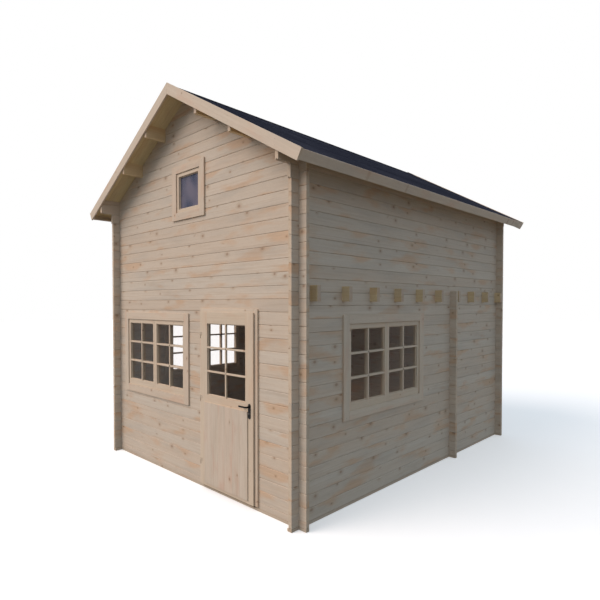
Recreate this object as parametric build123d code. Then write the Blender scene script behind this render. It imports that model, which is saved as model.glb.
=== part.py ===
from build123d import *
from math import cos, radians, sin, tan
import os

# Log house with a loft, in millimetres. X runs along the front from left to right,
# the front faces -Y, Z is up and the origin is the middle of the footprint on the ground.

# Log shell
HOUSE_W = 3800.0  # across the front, over the outer faces of the side walls
HOUSE_L = 4800.0  # front to back, over the outer faces of the end walls
LOG_T = 44.0
LOG_H = 135.0
LOG_END = 100.0  # how far a log runs past the wall it crosses
LOG_CHAMFER = 7.0  # off the upper outer edge, so that each joint shows as a groove
CORBEL_OUT = 12.0  # how much further the side walls' last log below the eave reaches
LEAST_TOP_LOG = 40.0  # what is left for a top course is at least this high
COURSE_GAP = 0.3  # keeps each log a solid of its own
NOTCH_PLAY = 0.3
SEAT_GAP = 0.3
CUT_OVER = 1.0  # how far a cutting shape runs past what it cuts
OFFCUT = 2000.0  # cubic millimetres, below which a piece left by a cut is waste
SOLE_H = 30.0
SOLE_W = 60.0

# Roof
RIDGE_Z = 4837.0  # top of the bargeboards where they meet
BARGE_UP = 18.0  # how far the bargeboards stand above the roof deck, square to the slope
EAVE_BOARD_DOWN = 8.0  # from there down to the top of the eave boards, square to the slope
ROOF_SLOPE = 29.67  # degrees
EAVE_OUT = 320.0  # level distance from the wall face to the end of the roof
VERGE_OUT = 296.0  # from the end wall face to the outer face of the bargeboards
BARGE_W = 120.0
BARGE_T = 22.0
FASCIA_W = 108.0
DECK_T = 19.0
FELT_T = 4.0
RIDGE_CAP_W = 150.0
PURLIN_W = 44.0
PURLIN_H = 165.0
PURLIN_INNER_X = 556.0
PURLIN_OUTER_X = 1168.0
PLATE_LOGS = 2  # top logs of a side wall that run on to the bargeboards

# Loft and ground floor
JOIST_COUNT = 10
JOIST_FROM_FRONT = 186.0  # from the front wall's outer face to the middle of the first joist
JOIST_FROM_BACK = 78.0
JOIST_W = 56.0
JOIST_H = 160.0
JOIST_END = 100.0
FLOORBOARD_T = 20.0
FLOOR_JOIST_W = 45.0
FLOOR_JOIST_H = 50.0
FLOOR_JOIST_PITCH = 560.0
FLOOR_EDGE = 8.0
HATCH_L = 800.0
HATCH_FROM_WALL = 156.0  # from the left wall's inner face
HATCH_AFTER_JOIST = 7  # the hatch lies between this joist and the next

# Partition
PARTITION_FROM_BACK = 1668.0  # from the back wall's outer face to the middle of the partition
PARTITION_DOOR_FROM_WALL = 536.0  # from the left wall's inner face
PARTITION_DOOR_W = 840.0
DOOR_COURSES = 15  # whole courses of an end wall or the partition up to the head of a doorway
LOFT_COURSES = 17  # whole courses of an end wall up to the top of the loft joists

# Windows
WINDOW_W = 1476.0  # over both sashes
WINDOW_H = 950.0
WINDOW_Z = 1040.0  # underside of the sashes
FRONT_SPACING = (330.0, 400.0, 634.0)  # bare wall left of the window, between it and the door, and beyond
SIDE_SPACING = (770.0, 864.0)  # bare wall before a side window, and from it to the partition
GABLE_WINDOW_W = 515.0
GABLE_WINDOW_H = 495.0
GABLE_WINDOW_DROP = 1479.0  # from the ridge down to the underside of the sash
SASH_STILE = 44.0
SASH_BOTTOM = 80.0
SASH_TOP = 54.0
WINDOW_COLUMNS = 2
WINDOW_ROWS = 3
SASH_D = 60.0
SASH_GAP = 2.0
SASH_OUT = 6.0  # how far the sashes stand out of the wall face
BAR_W = 24.0
BAR_INSET = 3.0
PANE_T = 5.0
FRAME_T = 28.0
FRAME_D = 72.0
FRAME_PLAY = 2.5
FRAME_STOP = 10.0  # the lip behind the sashes that they close against
CASING_T = 20.0
CASING_W = 98.0
GABLE_CASING_W = 95.0

# Entry door
DOOR_LEAF_W = 960.0
DOOR_LEAF_BOTTOM = 55.0
DOOR_LEAF_TOP = 2111.0
DOOR_LIP_T = 16.0  # the outer layer of the leaf, which laps over the frame
DOOR_LAP = 20.0
DOOR_BODY_T = 38.0
DOOR_GAP = 5.0
DOOR_LATCH_GAP = 8.0
DOOR_STILE = 130.0
DOOR_GLASS_BOTTOM = 1139.0
DOOR_GLASS_TOP = 1977.0
DOOR_BAR_W = 22.0
DOOR_BAR_D = 22.0
DOOR_BAR_INSET = 1.0
DOOR_PANES_HIGH = 3
DOOR_PANEL_BOTTOM = 92.0
DOOR_PANEL_TOP = 1052.0
DOOR_PANEL_W = 790.0
DOOR_PANEL_PROUD = 12.0
DOOR_PANEL_INNER_T = 22.0
DOOR_PANEL_RAIL = 90.0
DOOR_BOARDS = 6
DOOR_GROOVE = 3.0
DOOR_JAMB_T = 30.0
DOOR_CASING_OUTER_W = 1048.0
DOOR_CASING_TOP = 2151.0
DOOR_CASING_BOTTOM = 50.0
THRESHOLD_TOP = 75.0
THRESHOLD_OUT = 18.0
THRESHOLD_IN = 20.0

# Door furniture
HINGE_R = 7.0
HINGE_PIN_R = 3.5
HINGE_BORE_R = 3.8
HINGE_HALF_H = 38.0
HINGE_HEIGHTS = (330.0, 1083.0, 1836.0)
HINGE_PLATE_T = 3.0
HINGE_PLATE_REACH = 30.0  # how far the plate lies on the leaf
HINGE_SET_OFF = 1.0  # between the knuckle and the edge of the leaf
HINGE_SPLIT = 1.0  # between the lower and the upper knuckle
HINGE_PIN_SHORT = 2.0  # the pin stops this far below the top of the upper knuckle
HINGE_PLATE_EDGE = 2.0  # plate and bracket keep this far from the split
LEVER_Z = 1108.0
PLATE_W = 38.0
PLATE_BOTTOM = 978.0
PLATE_TOP = 1141.0
PLATE_T = 8.0
LEVER_FROM_EDGE = 59.0
LEVER_REACH = 130.0
LEVER_NECK_R = 9.0
LEVER_GRIP_T = 11.0
LEVER_OUT = 48.0  # from the plate to the middle of the grip
SPINDLE_R = 5.0
SPINDLE_HOLE_R = 9.0
LEVER_PLAY = 0.3


# Places worked out from the sizes above
FRONT_Y = -HOUSE_L / 2
RIGHT_X = HOUSE_W / 2
FIRST_HALF = SOLE_H + LOG_H / 2  # the end walls start with half a log
DOOR_OPENING_TOP = FIRST_HALF + DOOR_COURSES * LOG_H
JOIST_TOP_Z = FIRST_HALF + LOFT_COURSES * LOG_H
END_WALL_Y = HOUSE_L / 2 - LOG_T / 2
SIDE_WALL_X = HOUSE_W / 2 - LOG_T / 2
INNER_X = HOUSE_W / 2 - LOG_T
INNER_Y = HOUSE_L / 2 - LOG_T
SLOPE = radians(ROOF_SLOPE)
ROOF_RUN = (HOUSE_W / 2 + EAVE_OUT) / cos(SLOPE)  # along the slope, apex to eave
ROOF_UNDER = BARGE_UP + DECK_T  # underside of the deck, below the top of the bargeboards
BARGE_FRONT_Y = HOUSE_L / 2 + VERGE_OUT
BARGE_BACK_Y = BARGE_FRONT_Y - BARGE_T
FLOOR_TOP = FLOOR_JOIST_H + FLOORBOARD_T
JOIST_PITCH = (HOUSE_L - JOIST_FROM_FRONT - JOIST_FROM_BACK) / (JOIST_COUNT - 1)
HATCH_X = -INNER_X + HATCH_FROM_WALL + HATCH_L / 2
PARTITION_Y = HOUSE_L / 2 - PARTITION_FROM_BACK
PARTITION_DOOR_X = -INNER_X + PARTITION_DOOR_FROM_WALL + PARTITION_DOOR_W / 2
GABLE_WINDOW_Z = RIDGE_Z - GABLE_WINDOW_DROP
# The windows and the door share out the bare wall that is left beside them.
FRONT_BARE = (HOUSE_W - WINDOW_W - DOOR_LEAF_W) / sum(FRONT_SPACING)
FRONT_WINDOW_X = -RIGHT_X + FRONT_BARE * FRONT_SPACING[0] + WINDOW_W / 2
DOOR_X = RIGHT_X - FRONT_BARE * FRONT_SPACING[2] - DOOR_LEAF_W / 2
SIDE_BARE = (PARTITION_Y - LOG_T / 2 - FRONT_Y - WINDOW_W) / sum(SIDE_SPACING)
SIDE_WINDOW_Y = FRONT_Y + SIDE_BARE * SIDE_SPACING[0] + WINDOW_W / 2
PURLIN_SPOTS = (-PURLIN_OUTER_X, -PURLIN_INNER_X, 0.0, PURLIN_INNER_X, PURLIN_OUTER_X)


def block(x, y, z):
    """Box between two corners, given as (low, high) pairs."""
    centre = Pos((x[0] + x[1]) / 2, (y[0] + y[1]) / 2, (z[0] + z[1]) / 2)
    return centre * Box(x[1] - x[0], y[1] - y[0], z[1] - z[0])


def prism_y(points, y):
    """Outline of (x, z) points carried from y[0] to y[1]."""
    face = make_face(Polyline(*[(px, y[0], pz) for px, pz in points], close=True))
    return extrude(face, amount=y[1] - y[0], dir=(0, 1, 0))


def prism_x(points, x):
    """Outline of (y, z) points carried from x[0] to x[1]."""
    face = make_face(Polyline(*[(x[0], py, pz) for py, pz in points], close=True))
    return extrude(face, amount=x[1] - x[0], dir=(1, 0, 0))


def roof_z(x, below=0.0):
    """Height of the bargeboards' top edge at x, or of a plane that lies below it."""
    return RIDGE_Z - abs(x) * tan(SLOPE) - below / cos(SLOPE)


def on_slope(side, along, depth):
    """Point (x, z) on one roof slope: along it from the apex, and square below it."""
    x = along * cos(SLOPE) - depth * sin(SLOPE)
    return side * x, RIDGE_Z - along * sin(SLOPE) - depth * cos(SLOPE)


def slope_prism(side, along, depth, y):
    """Board of rectangular section on one slope, mitred at the ridge plane."""
    corners = [(along[0], depth[0]), (along[1], depth[0]), (along[1], depth[1]), (along[0], depth[1])]
    if along[0] > 0:
        return prism_y([on_slope(side, s, n) for s, n in corners], y)
    top = (0.0, RIDGE_Z - depth[0] / cos(SLOPE))
    bottom = (0.0, RIDGE_Z - depth[1] / cos(SLOPE))
    outer = [on_slope(side, along[1], depth[0]), on_slope(side, along[1], depth[1])]
    return prism_y([top, outer[0], outer[1], bottom], y)


def mitred_pair(along, depth, y):
    """The same board on both slopes, with a saw cut between the two at the ridge."""
    saw_cut = block(
        (-SEAT_GAP / 2, SEAT_GAP / 2), (y[0] - CUT_OVER, y[1] + CUT_OVER), (0.0, 2 * RIDGE_Z),
    )
    return [slope_prism(side, along, depth, y) - saw_cut for side in (-1, 1)]


def solids(shape):
    """Pieces of a shape that are big enough to be real."""
    return [s for s in shape.solids() if s.volume > OFFCUT]


def save(name, *shapes):
    """Write one node as a STEP file, its solids side by side."""
    parts = []
    for shape in shapes:
        parts.extend(shape.solids())
    node = parts[0] if len(parts) == 1 else Compound(children=parts)
    node.label = name
    export_step(node, "parts/" + name + ".step")


def log(along, z, outside):
    """
    One log along X about the wall's middle plane. outside is -1 or 1 for the side whose
    upper edge is taken off, or 0 for a log that is square all round.
    """
    half = LOG_T / 2
    low = z[0] + COURSE_GAP / 2
    high = z[1] - COURSE_GAP / 2
    if outside == 0:
        return block(along, (-half, half), (low, high))
    face = outside * half
    edge = outside * (half - LOG_CHAMFER)
    outline = [(-face, low), (face, low), (face, high - LOG_CHAMFER), (edge, high), (-face, high)]
    return prism_x(outline, along)


def log_wall(courses, outside, reach_of, crossings, openings, cutters):
    """
    Logs of one wall along X: a list of solids.
    reach_of gives half a log's length from its underside's height. crossings are (x, z):
    where a log's underside lies at z, it saddles there by half its height over the
    crossing wall's log at x. openings are (x low, x high, z low, z high), and cutters
    are (z low, z high, shape), taken out last.
    """
    wall = []
    for low, high in courses:
        end = reach_of(low)
        body = log((-end, end), (low, high), outside)
        for x, z in crossings:
            if abs(z - low) < NOTCH_PLAY:
                half = LOG_T / 2 + NOTCH_PLAY
                saddle = (z, z + LOG_H / 2 + NOTCH_PLAY)
                body -= block((x - half, x + half), (-LOG_T, LOG_T), saddle)
        for x0, x1, z0, z1 in openings:
            if z1 > low and z0 < high:
                body -= block((x0, x1), (-LOG_T, LOG_T), (z0, z1))
        for z0, z1, cutter in cutters:
            if z1 > low and z0 < high:
                body -= cutter
        wall.extend(solids(body))
    return wall


def course_lines(first, top, least):
    """Heights of the joints between courses, the last log taking what is left."""
    lines = [SOLE_H]
    z = first
    while z < top - least:
        lines.append(z)
        z += LOG_H
    lines.append(top)
    return list(zip(lines[:-1], lines[1:]))


def stand(wall, x=0.0, y=0.0, turn=0.0):
    """Place a wall that was made along X: turned about Z and moved."""
    place = Pos(x, y, 0) * Rot(0, 0, turn)
    return [place * piece for piece in wall]


# The end walls start with half a log, so their joints cross the side walls' at mid-log.
SIDE_PLATE_TOP = roof_z(INNER_X, ROOF_UNDER) - SEAT_GAP
END_APEX = roof_z(0.0, ROOF_UNDER)
SIDE_COURSES = course_lines(SOLE_H + LOG_H, SIDE_PLATE_TOP, LEAST_TOP_LOG)
END_COURSES = course_lines(FIRST_HALF, END_APEX, LEAST_TOP_LOG)
PARTITION_COURSES = END_COURSES[:LOFT_COURSES + 1]
SIDE_SADDLES = [low for low, high in SIDE_COURSES]
END_SADDLES = [low for low, high in END_COURSES[1:] if low < SIDE_PLATE_TOP]
PARTITION_SADDLES = [low for low in SIDE_SADDLES if low < PARTITION_COURSES[-1][1]]


def above_roof():
    """Everything above the underside of the roof deck, for trimming logs."""
    far = HOUSE_W
    drop = ROOF_UNDER + SEAT_GAP * cos(SLOPE)
    deep = HOUSE_L
    line = [(-far, roof_z(far, drop)), (0.0, roof_z(0.0, drop)), (far, roof_z(far, drop))]
    return prism_y(line + [(far, RIDGE_Z + far), (-far, RIDGE_Z + far)], (-deep, deep))


ROOF_TRIM = above_roof()
ROOF_TRIM_FROM = roof_z(HOUSE_W / 2 + LOG_END, ROOF_UNDER) - 2 * SEAT_GAP


# Windows: made with the wall's outer face at y = 0, the outside towards -Y, then placed.
def window_frame_size(width, height):
    """Outer size of a window's frame around sashes of the given size."""
    return width + 2 * (FRAME_T + SASH_GAP), height + 2 * (FRAME_T + SASH_GAP)


def wall_hole(width, height, bottom, centre):
    """Opening for a window as (x low, x high, z low, z high)."""
    outer_w, outer_h = window_frame_size(width, height)
    low = bottom - (outer_h - height) / 2 - FRAME_PLAY
    half = outer_w / 2 + FRAME_PLAY
    return centre - half, centre + half, low, low + outer_h + 2 * FRAME_PLAY


def ring(outer, inner, y):
    """Four-sided frame: outer and inner are (x low, x high, z low, z high)."""
    body = block(outer[:2], y, outer[2:])
    return body - block(inner[:2], (y[0] - CUT_OVER, y[1] + CUT_OVER), inner[2:])


def boards(outer, inner, y, bottom_board=True):
    """Flat boards round an opening: two uprights, with the level ones set between them."""
    left = block((outer[0], inner[0]), y, outer[2:])
    right = block((inner[1], outer[1]), y, outer[2:])
    between = (inner[0] + SEAT_GAP, inner[1] - SEAT_GAP)
    pieces = [left, right, block(between, y, (inner[3], outer[3]))]
    if bottom_board:
        pieces.append(block(between, y, (outer[2], inner[2])))
    return pieces


def sash(x, z, columns, rows):
    """One sash: stiles, rails and glazing bars on both faces, and its pane."""
    back = -SASH_OUT + SASH_D
    opening = (x[0] + SASH_STILE, x[1] - SASH_STILE, z[0] + SASH_BOTTOM, z[1] - SASH_TOP)
    if columns == 1:
        opening = (x[0] + SASH_STILE, x[1] - SASH_STILE, z[0] + SASH_STILE, z[1] - SASH_STILE)
    body = ring((x[0], x[1], z[0], z[1]), opening, (-SASH_OUT, back))
    middle = (-SASH_OUT + back) / 2
    pane_y = (middle - PANE_T / 2, middle + PANE_T / 2)
    faces = [
        (-SASH_OUT + BAR_INSET, pane_y[0] - SEAT_GAP),
        (pane_y[1] + SEAT_GAP, back - BAR_INSET),
    ]
    half = BAR_W / 2
    for y in faces:
        for i in range(1, columns):
            at = opening[0] + (opening[1] - opening[0]) * i / columns
            body += block((at - half, at + half), y, opening[2:])
        for j in range(1, rows):
            at = opening[2] + (opening[3] - opening[2]) * j / rows
            body += block(opening[:2], y, (at - half, at + half))
    pane = block(
        (opening[0] + SEAT_GAP, opening[1] - SEAT_GAP), pane_y,
        (opening[2] + SEAT_GAP, opening[3] - SEAT_GAP),
    )
    return body, pane


def window(name, place, width, height, bottom, casing_w, sash_count, columns, rows):
    """Casing, frame, sashes and panes of one window, saved as four nodes."""
    half = width / 2
    top = bottom + height
    inner = (-half, half, bottom, top)
    casing_outer = (-half - casing_w, half + casing_w, bottom - casing_w, top + casing_w)
    casing = boards(casing_outer, inner, (-CASING_T, 0.0))
    outer_w, outer_h = window_frame_size(width, height)
    edge = (outer_h - height) / 2
    frame_outer = (-outer_w / 2, outer_w / 2, bottom - edge, top + edge)
    frame_inner = (-half - SASH_GAP, half + SASH_GAP, bottom, top + SASH_GAP)
    frame = ring(frame_outer, frame_inner, (SEAT_GAP, FRAME_D))
    lip = (-half + FRAME_STOP, half - FRAME_STOP, bottom + FRAME_STOP, top - FRAME_STOP)
    frame += ring(frame_outer, lip, (SASH_D - SASH_OUT + SEAT_GAP, FRAME_D))
    sashes = []
    panes = []
    each = width / sash_count
    for i in range(sash_count):
        x = (-half + i * each + SASH_GAP / 2, -half + (i + 1) * each - SASH_GAP / 2)
        body, pane = sash(x, (bottom + SEAT_GAP, top - SASH_GAP / 2), columns, rows)
        sashes.append(place * body)
        panes.append(place * pane)
    save(name + "_casing", *[place * board for board in casing])
    save(name + "_frame", place * frame)
    save(name + "_sashes" if sash_count > 1 else name + "_sash", *sashes)
    save(name + "_glass", *panes)


def make_windows():
    """The double windows front, right and left, and the small one in the gable."""
    front = Pos(FRONT_WINDOW_X, FRONT_Y, 0)
    gable = Pos(0, FRONT_Y, 0)
    right = Pos(RIGHT_X, SIDE_WINDOW_Y, 0) * Rot(0, 0, 90)
    left = Pos(-RIGHT_X, SIDE_WINDOW_Y, 0) * Rot(0, 0, -90)
    for name, place in (("front_window", front), ("right_window", right), ("left_window", left)):
        window(name, place, WINDOW_W, WINDOW_H, WINDOW_Z, CASING_W, 2, WINDOW_COLUMNS, WINDOW_ROWS)
    window("gable_window", gable, GABLE_WINDOW_W, GABLE_WINDOW_H, GABLE_WINDOW_Z, GABLE_CASING_W, 1, 1, 1)


# Entry door sizes that several pieces share
DOOR_CLEAR_W = DOOR_LEAF_W - 2 * DOOR_LAP
DOOR_CLEAR_TOP = DOOR_LEAF_TOP - DOOR_LAP
DOOR_FRAME_W = DOOR_CLEAR_W + 2 * DOOR_JAMB_T
DOOR_HOLE_W = DOOR_FRAME_W + 2 * FRAME_PLAY
CASING_FACE_Y = FRONT_Y - CASING_T
LEAF_LIP_BACK = CASING_FACE_Y - DOOR_GAP
LEAF_FACE_Y = LEAF_LIP_BACK - DOOR_LIP_T
LEAF_BACK_Y = LEAF_LIP_BACK + DOOR_BODY_T
LEAF_LEFT = DOOR_X - DOOR_LEAF_W / 2
LEAF_RIGHT = DOOR_X + DOOR_LEAF_W / 2
HINGE_X = LEAF_LEFT - HINGE_R - HINGE_SET_OFF
HINGE_Y = LEAF_FACE_Y
LEVER_X = LEAF_RIGHT - LEVER_FROM_EDGE
BODY_LEFT = DOOR_X - DOOR_CLEAR_W / 2 + DOOR_GAP
BODY_RIGHT = DOOR_X + DOOR_CLEAR_W / 2 - DOOR_LATCH_GAP
BODY_BOTTOM = THRESHOLD_TOP + DOOR_GAP
BODY_TOP = DOOR_CLEAR_TOP - DOOR_LATCH_GAP


def make_door_frame():
    """Casing boards, jambs, head and threshold round the doorway."""
    half = DOOR_CLEAR_W / 2
    outer = DOOR_CASING_OUTER_W / 2
    casing_outer = (DOOR_X - outer, DOOR_X + outer, DOOR_CASING_BOTTOM, DOOR_CASING_TOP)
    casing_inner = (DOOR_X - half, DOOR_X + half, DOOR_CASING_BOTTOM, DOOR_CLEAR_TOP)
    casing = boards(casing_outer, casing_inner, (CASING_FACE_Y, FRONT_Y), bottom_board=False)
    frame_y = (FRONT_Y + SEAT_GAP, FRONT_Y + FRAME_D)
    frame_top = DOOR_CLEAR_TOP + DOOR_JAMB_T
    jambs = []
    for side in (-1, 1):
        x = sorted((DOOR_X + side * half, DOOR_X + side * (half + DOOR_JAMB_T)))
        jambs.append(block(x, frame_y, (THRESHOLD_TOP + SEAT_GAP, DOOR_CLEAR_TOP - SEAT_GAP)))
    reach = DOOR_FRAME_W / 2
    head = block((DOOR_X - reach, DOOR_X + reach), frame_y, (DOOR_CLEAR_TOP, frame_top))
    sill_z = (SOLE_H + SEAT_GAP, THRESHOLD_TOP)
    sill = block((DOOR_X - reach, DOOR_X + reach), (FRONT_Y, FRONT_Y + FRAME_D + THRESHOLD_IN), sill_z)
    nose_x = (DOOR_X - half + SEAT_GAP, DOOR_X + half - SEAT_GAP)
    nose = block(nose_x, (FRONT_Y - THRESHOLD_OUT, FRONT_Y + CUT_OVER), sill_z)
    floor_y = (FRONT_Y + LOG_T + FLOOR_EDGE - SEAT_GAP, 0.0)
    floor_cut = block((-HOUSE_W, HOUSE_W), floor_y, (0.0, FLOOR_TOP + SEAT_GAP))
    save("door_casing", *casing)
    save("door_frame", jambs[0], jambs[1], head)
    save("door_threshold", sill + nose - floor_cut)


def make_door_leaf():
    """Stiles and rails with a lapped edge, glazing bars, pane and boarded panel."""
    body_y = (LEAF_LIP_BACK - CUT_OVER, LEAF_BACK_Y)
    leaf = block((LEAF_LEFT, LEAF_RIGHT), (LEAF_FACE_Y, LEAF_LIP_BACK), (DOOR_LEAF_BOTTOM, DOOR_LEAF_TOP))
    leaf += block((BODY_LEFT, BODY_RIGHT), body_y, (BODY_BOTTOM, BODY_TOP))
    glass_x = (LEAF_LEFT + DOOR_STILE, LEAF_RIGHT - DOOR_STILE)
    glass_z = (DOOR_GLASS_BOTTOM, DOOR_GLASS_TOP)
    through = (LEAF_FACE_Y - CUT_OVER, LEAF_BACK_Y + CUT_OVER)
    leaf -= block(glass_x, through, glass_z)
    lower_z = (DOOR_PANEL_BOTTOM + DOOR_PANEL_RAIL, DOOR_PANEL_TOP - DOOR_PANEL_RAIL)
    leaf -= block(glass_x, through, lower_z)
    bar_y = (LEAF_FACE_Y + DOOR_BAR_INSET, LEAF_FACE_Y + DOOR_BAR_INSET + DOOR_BAR_D)
    half = DOOR_BAR_W / 2
    middle = (glass_x[0] + glass_x[1]) / 2
    leaf += block((middle - half, middle + half), bar_y, glass_z)
    for j in range(1, DOOR_PANES_HIGH):
        at = glass_z[0] + (glass_z[1] - glass_z[0]) * j / DOOR_PANES_HIGH
        leaf += block(glass_x, bar_y, (at - half, at + half))
    spindle_hole = Pos(LEVER_X, (LEAF_FACE_Y + LEAF_BACK_Y) / 2, LEVER_Z) * Rot(90, 0, 0)
    leaf -= spindle_hole * Cylinder(SPINDLE_HOLE_R, LEAF_BACK_Y - LEAF_FACE_Y + 2 * CUT_OVER)
    save("door_leaf", leaf)

    pane_y = (bar_y[1] + SEAT_GAP, bar_y[1] + SEAT_GAP + PANE_T)
    pane = block(
        (glass_x[0] + SEAT_GAP, glass_x[1] - SEAT_GAP), pane_y,
        (glass_z[0] + SEAT_GAP, glass_z[1] - SEAT_GAP),
    )
    save("door_glass", pane)

    panel_x = (DOOR_X - DOOR_PANEL_W / 2, DOOR_X + DOOR_PANEL_W / 2)
    panel_z = (DOOR_PANEL_BOTTOM, DOOR_PANEL_TOP)
    face = LEAF_FACE_Y - DOOR_PANEL_PROUD
    panel = block(panel_x, (face, LEAF_FACE_Y), panel_z)
    groove_z = DOOR_PANEL_BOTTOM - CUT_OVER
    for i in range(1, DOOR_BOARDS):
        at = panel_x[0] + DOOR_PANEL_W * i / DOOR_BOARDS
        groove = [(at - DOOR_GROOVE, face), (at + DOOR_GROOVE, face), (at, face + DOOR_GROOVE)]
        line = Polyline(*[(px, py, groove_z) for px, py in groove], close=True)
        panel -= extrude(make_face(line), amount=DOOR_PANEL_TOP + CUT_OVER - groove_z, dir=(0, 0, 1))
    play = SEAT_GAP
    panel += block(
        (glass_x[0] + play, glass_x[1] - play),
        (LEAF_FACE_Y - CUT_OVER, LEAF_FACE_Y + DOOR_PANEL_INNER_T),
        (lower_z[0] + play, lower_z[1] - play),
    )
    save("door_panel", panel)


def make_hinges():
    """Lift-off hinges: a pin on a bracket at the casing, and a knuckle on the leaf."""
    fixed = []
    moving = []
    rise = (HINGE_HALF_H + HINGE_SPLIT) / 2
    for z in HINGE_HEIGHTS:
        at = Pos(HINGE_X, HINGE_Y, z)
        lower = at * Pos(0, 0, -rise) * Cylinder(HINGE_R, HINGE_HALF_H)
        pin = at * Cylinder(HINGE_PIN_R, 2 * (HINGE_HALF_H - HINGE_PIN_SHORT))
        bracket_z = (z - HINGE_HALF_H, z - HINGE_PLATE_EDGE)
        arm = block((HINGE_X - HINGE_R, HINGE_X), (HINGE_Y, CASING_FACE_Y), bracket_z)
        fixed.append(lower + pin + arm)
        upper = at * Pos(0, 0, rise) * Cylinder(HINGE_R, HINGE_HALF_H)
        plate = block(
            (HINGE_X, LEAF_LEFT + HINGE_PLATE_REACH), (LEAF_FACE_Y - HINGE_PLATE_T, LEAF_FACE_Y),
            (z + HINGE_PLATE_EDGE, z + HINGE_HALF_H),
        )
        bore = at * Pos(0, 0, rise) * Cylinder(HINGE_BORE_R, HINGE_HALF_H + 2 * CUT_OVER)
        moving.append(upper + plate - bore)
    save("hinge_pins", *fixed)
    save("hinge_knuckles", *moving)


def lever_handle(face_y, out):
    """Neck and flat grip on one face of the leaf; out is -1 towards the outside, 1 inside."""
    grip_y = face_y + out * (PLATE_T + LEVER_OUT)
    y = sorted((face_y, grip_y))
    neck = Pos(LEVER_X, (y[0] + y[1]) / 2, LEVER_Z) * Rot(90, 0, 0) * Cylinder(LEVER_NECK_R, y[1] - y[0])
    middle = LEVER_X - (LEVER_REACH - LEVER_NECK_R) / 2
    back = Plane(
        origin=(middle, grip_y - LEVER_GRIP_T / 2, LEVER_Z), x_dir=(1, 0, 0), z_dir=(0, 1, 0),
    )
    outline = SlotOverall(LEVER_REACH + LEVER_NECK_R, 2 * LEVER_NECK_R)
    return neck + extrude(back * outline, amount=LEVER_GRIP_T, dir=(0, 1, 0))


def backplate(face_y, out):
    """Long rounded plate on one face of the leaf, with the hole the neck turns in."""
    low = face_y if out > 0 else face_y - PLATE_T
    centre = (LEVER_X, low, (PLATE_BOTTOM + PLATE_TOP) / 2)
    outline = Plane(origin=centre, x_dir=(0, 0, 1), z_dir=(0, 1, 0))
    plate = extrude(
        outline * SlotOverall(PLATE_TOP - PLATE_BOTTOM, PLATE_W), amount=PLATE_T, dir=(0, 1, 0),
    )
    hole = Cylinder(LEVER_NECK_R + LEVER_PLAY, PLATE_T + 2 * CUT_OVER)
    return plate - Pos(LEVER_X, low + PLATE_T / 2, LEVER_Z) * Rot(90, 0, 0) * hole


def make_handle():
    """Backplates on both faces, and the two levers joined by their spindle."""
    save("handle_plates", backplate(LEAF_FACE_Y, -1), backplate(LEAF_BACK_Y, 1))
    outer = lever_handle(LEAF_FACE_Y, -1)
    inner = lever_handle(LEAF_BACK_Y, 1)
    through = Cylinder(SPINDLE_R, LEAF_BACK_Y - LEAF_FACE_Y + 2 * CUT_OVER)
    spindle = Pos(LEVER_X, (LEAF_FACE_Y + LEAF_BACK_Y) / 2, LEVER_Z) * Rot(90, 0, 0) * through
    save("door_lever", outer + spindle + inner)


def joist_y(i):
    """Middle of loft joist i."""
    return FRONT_Y + JOIST_FROM_FRONT + i * JOIST_PITCH


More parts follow.
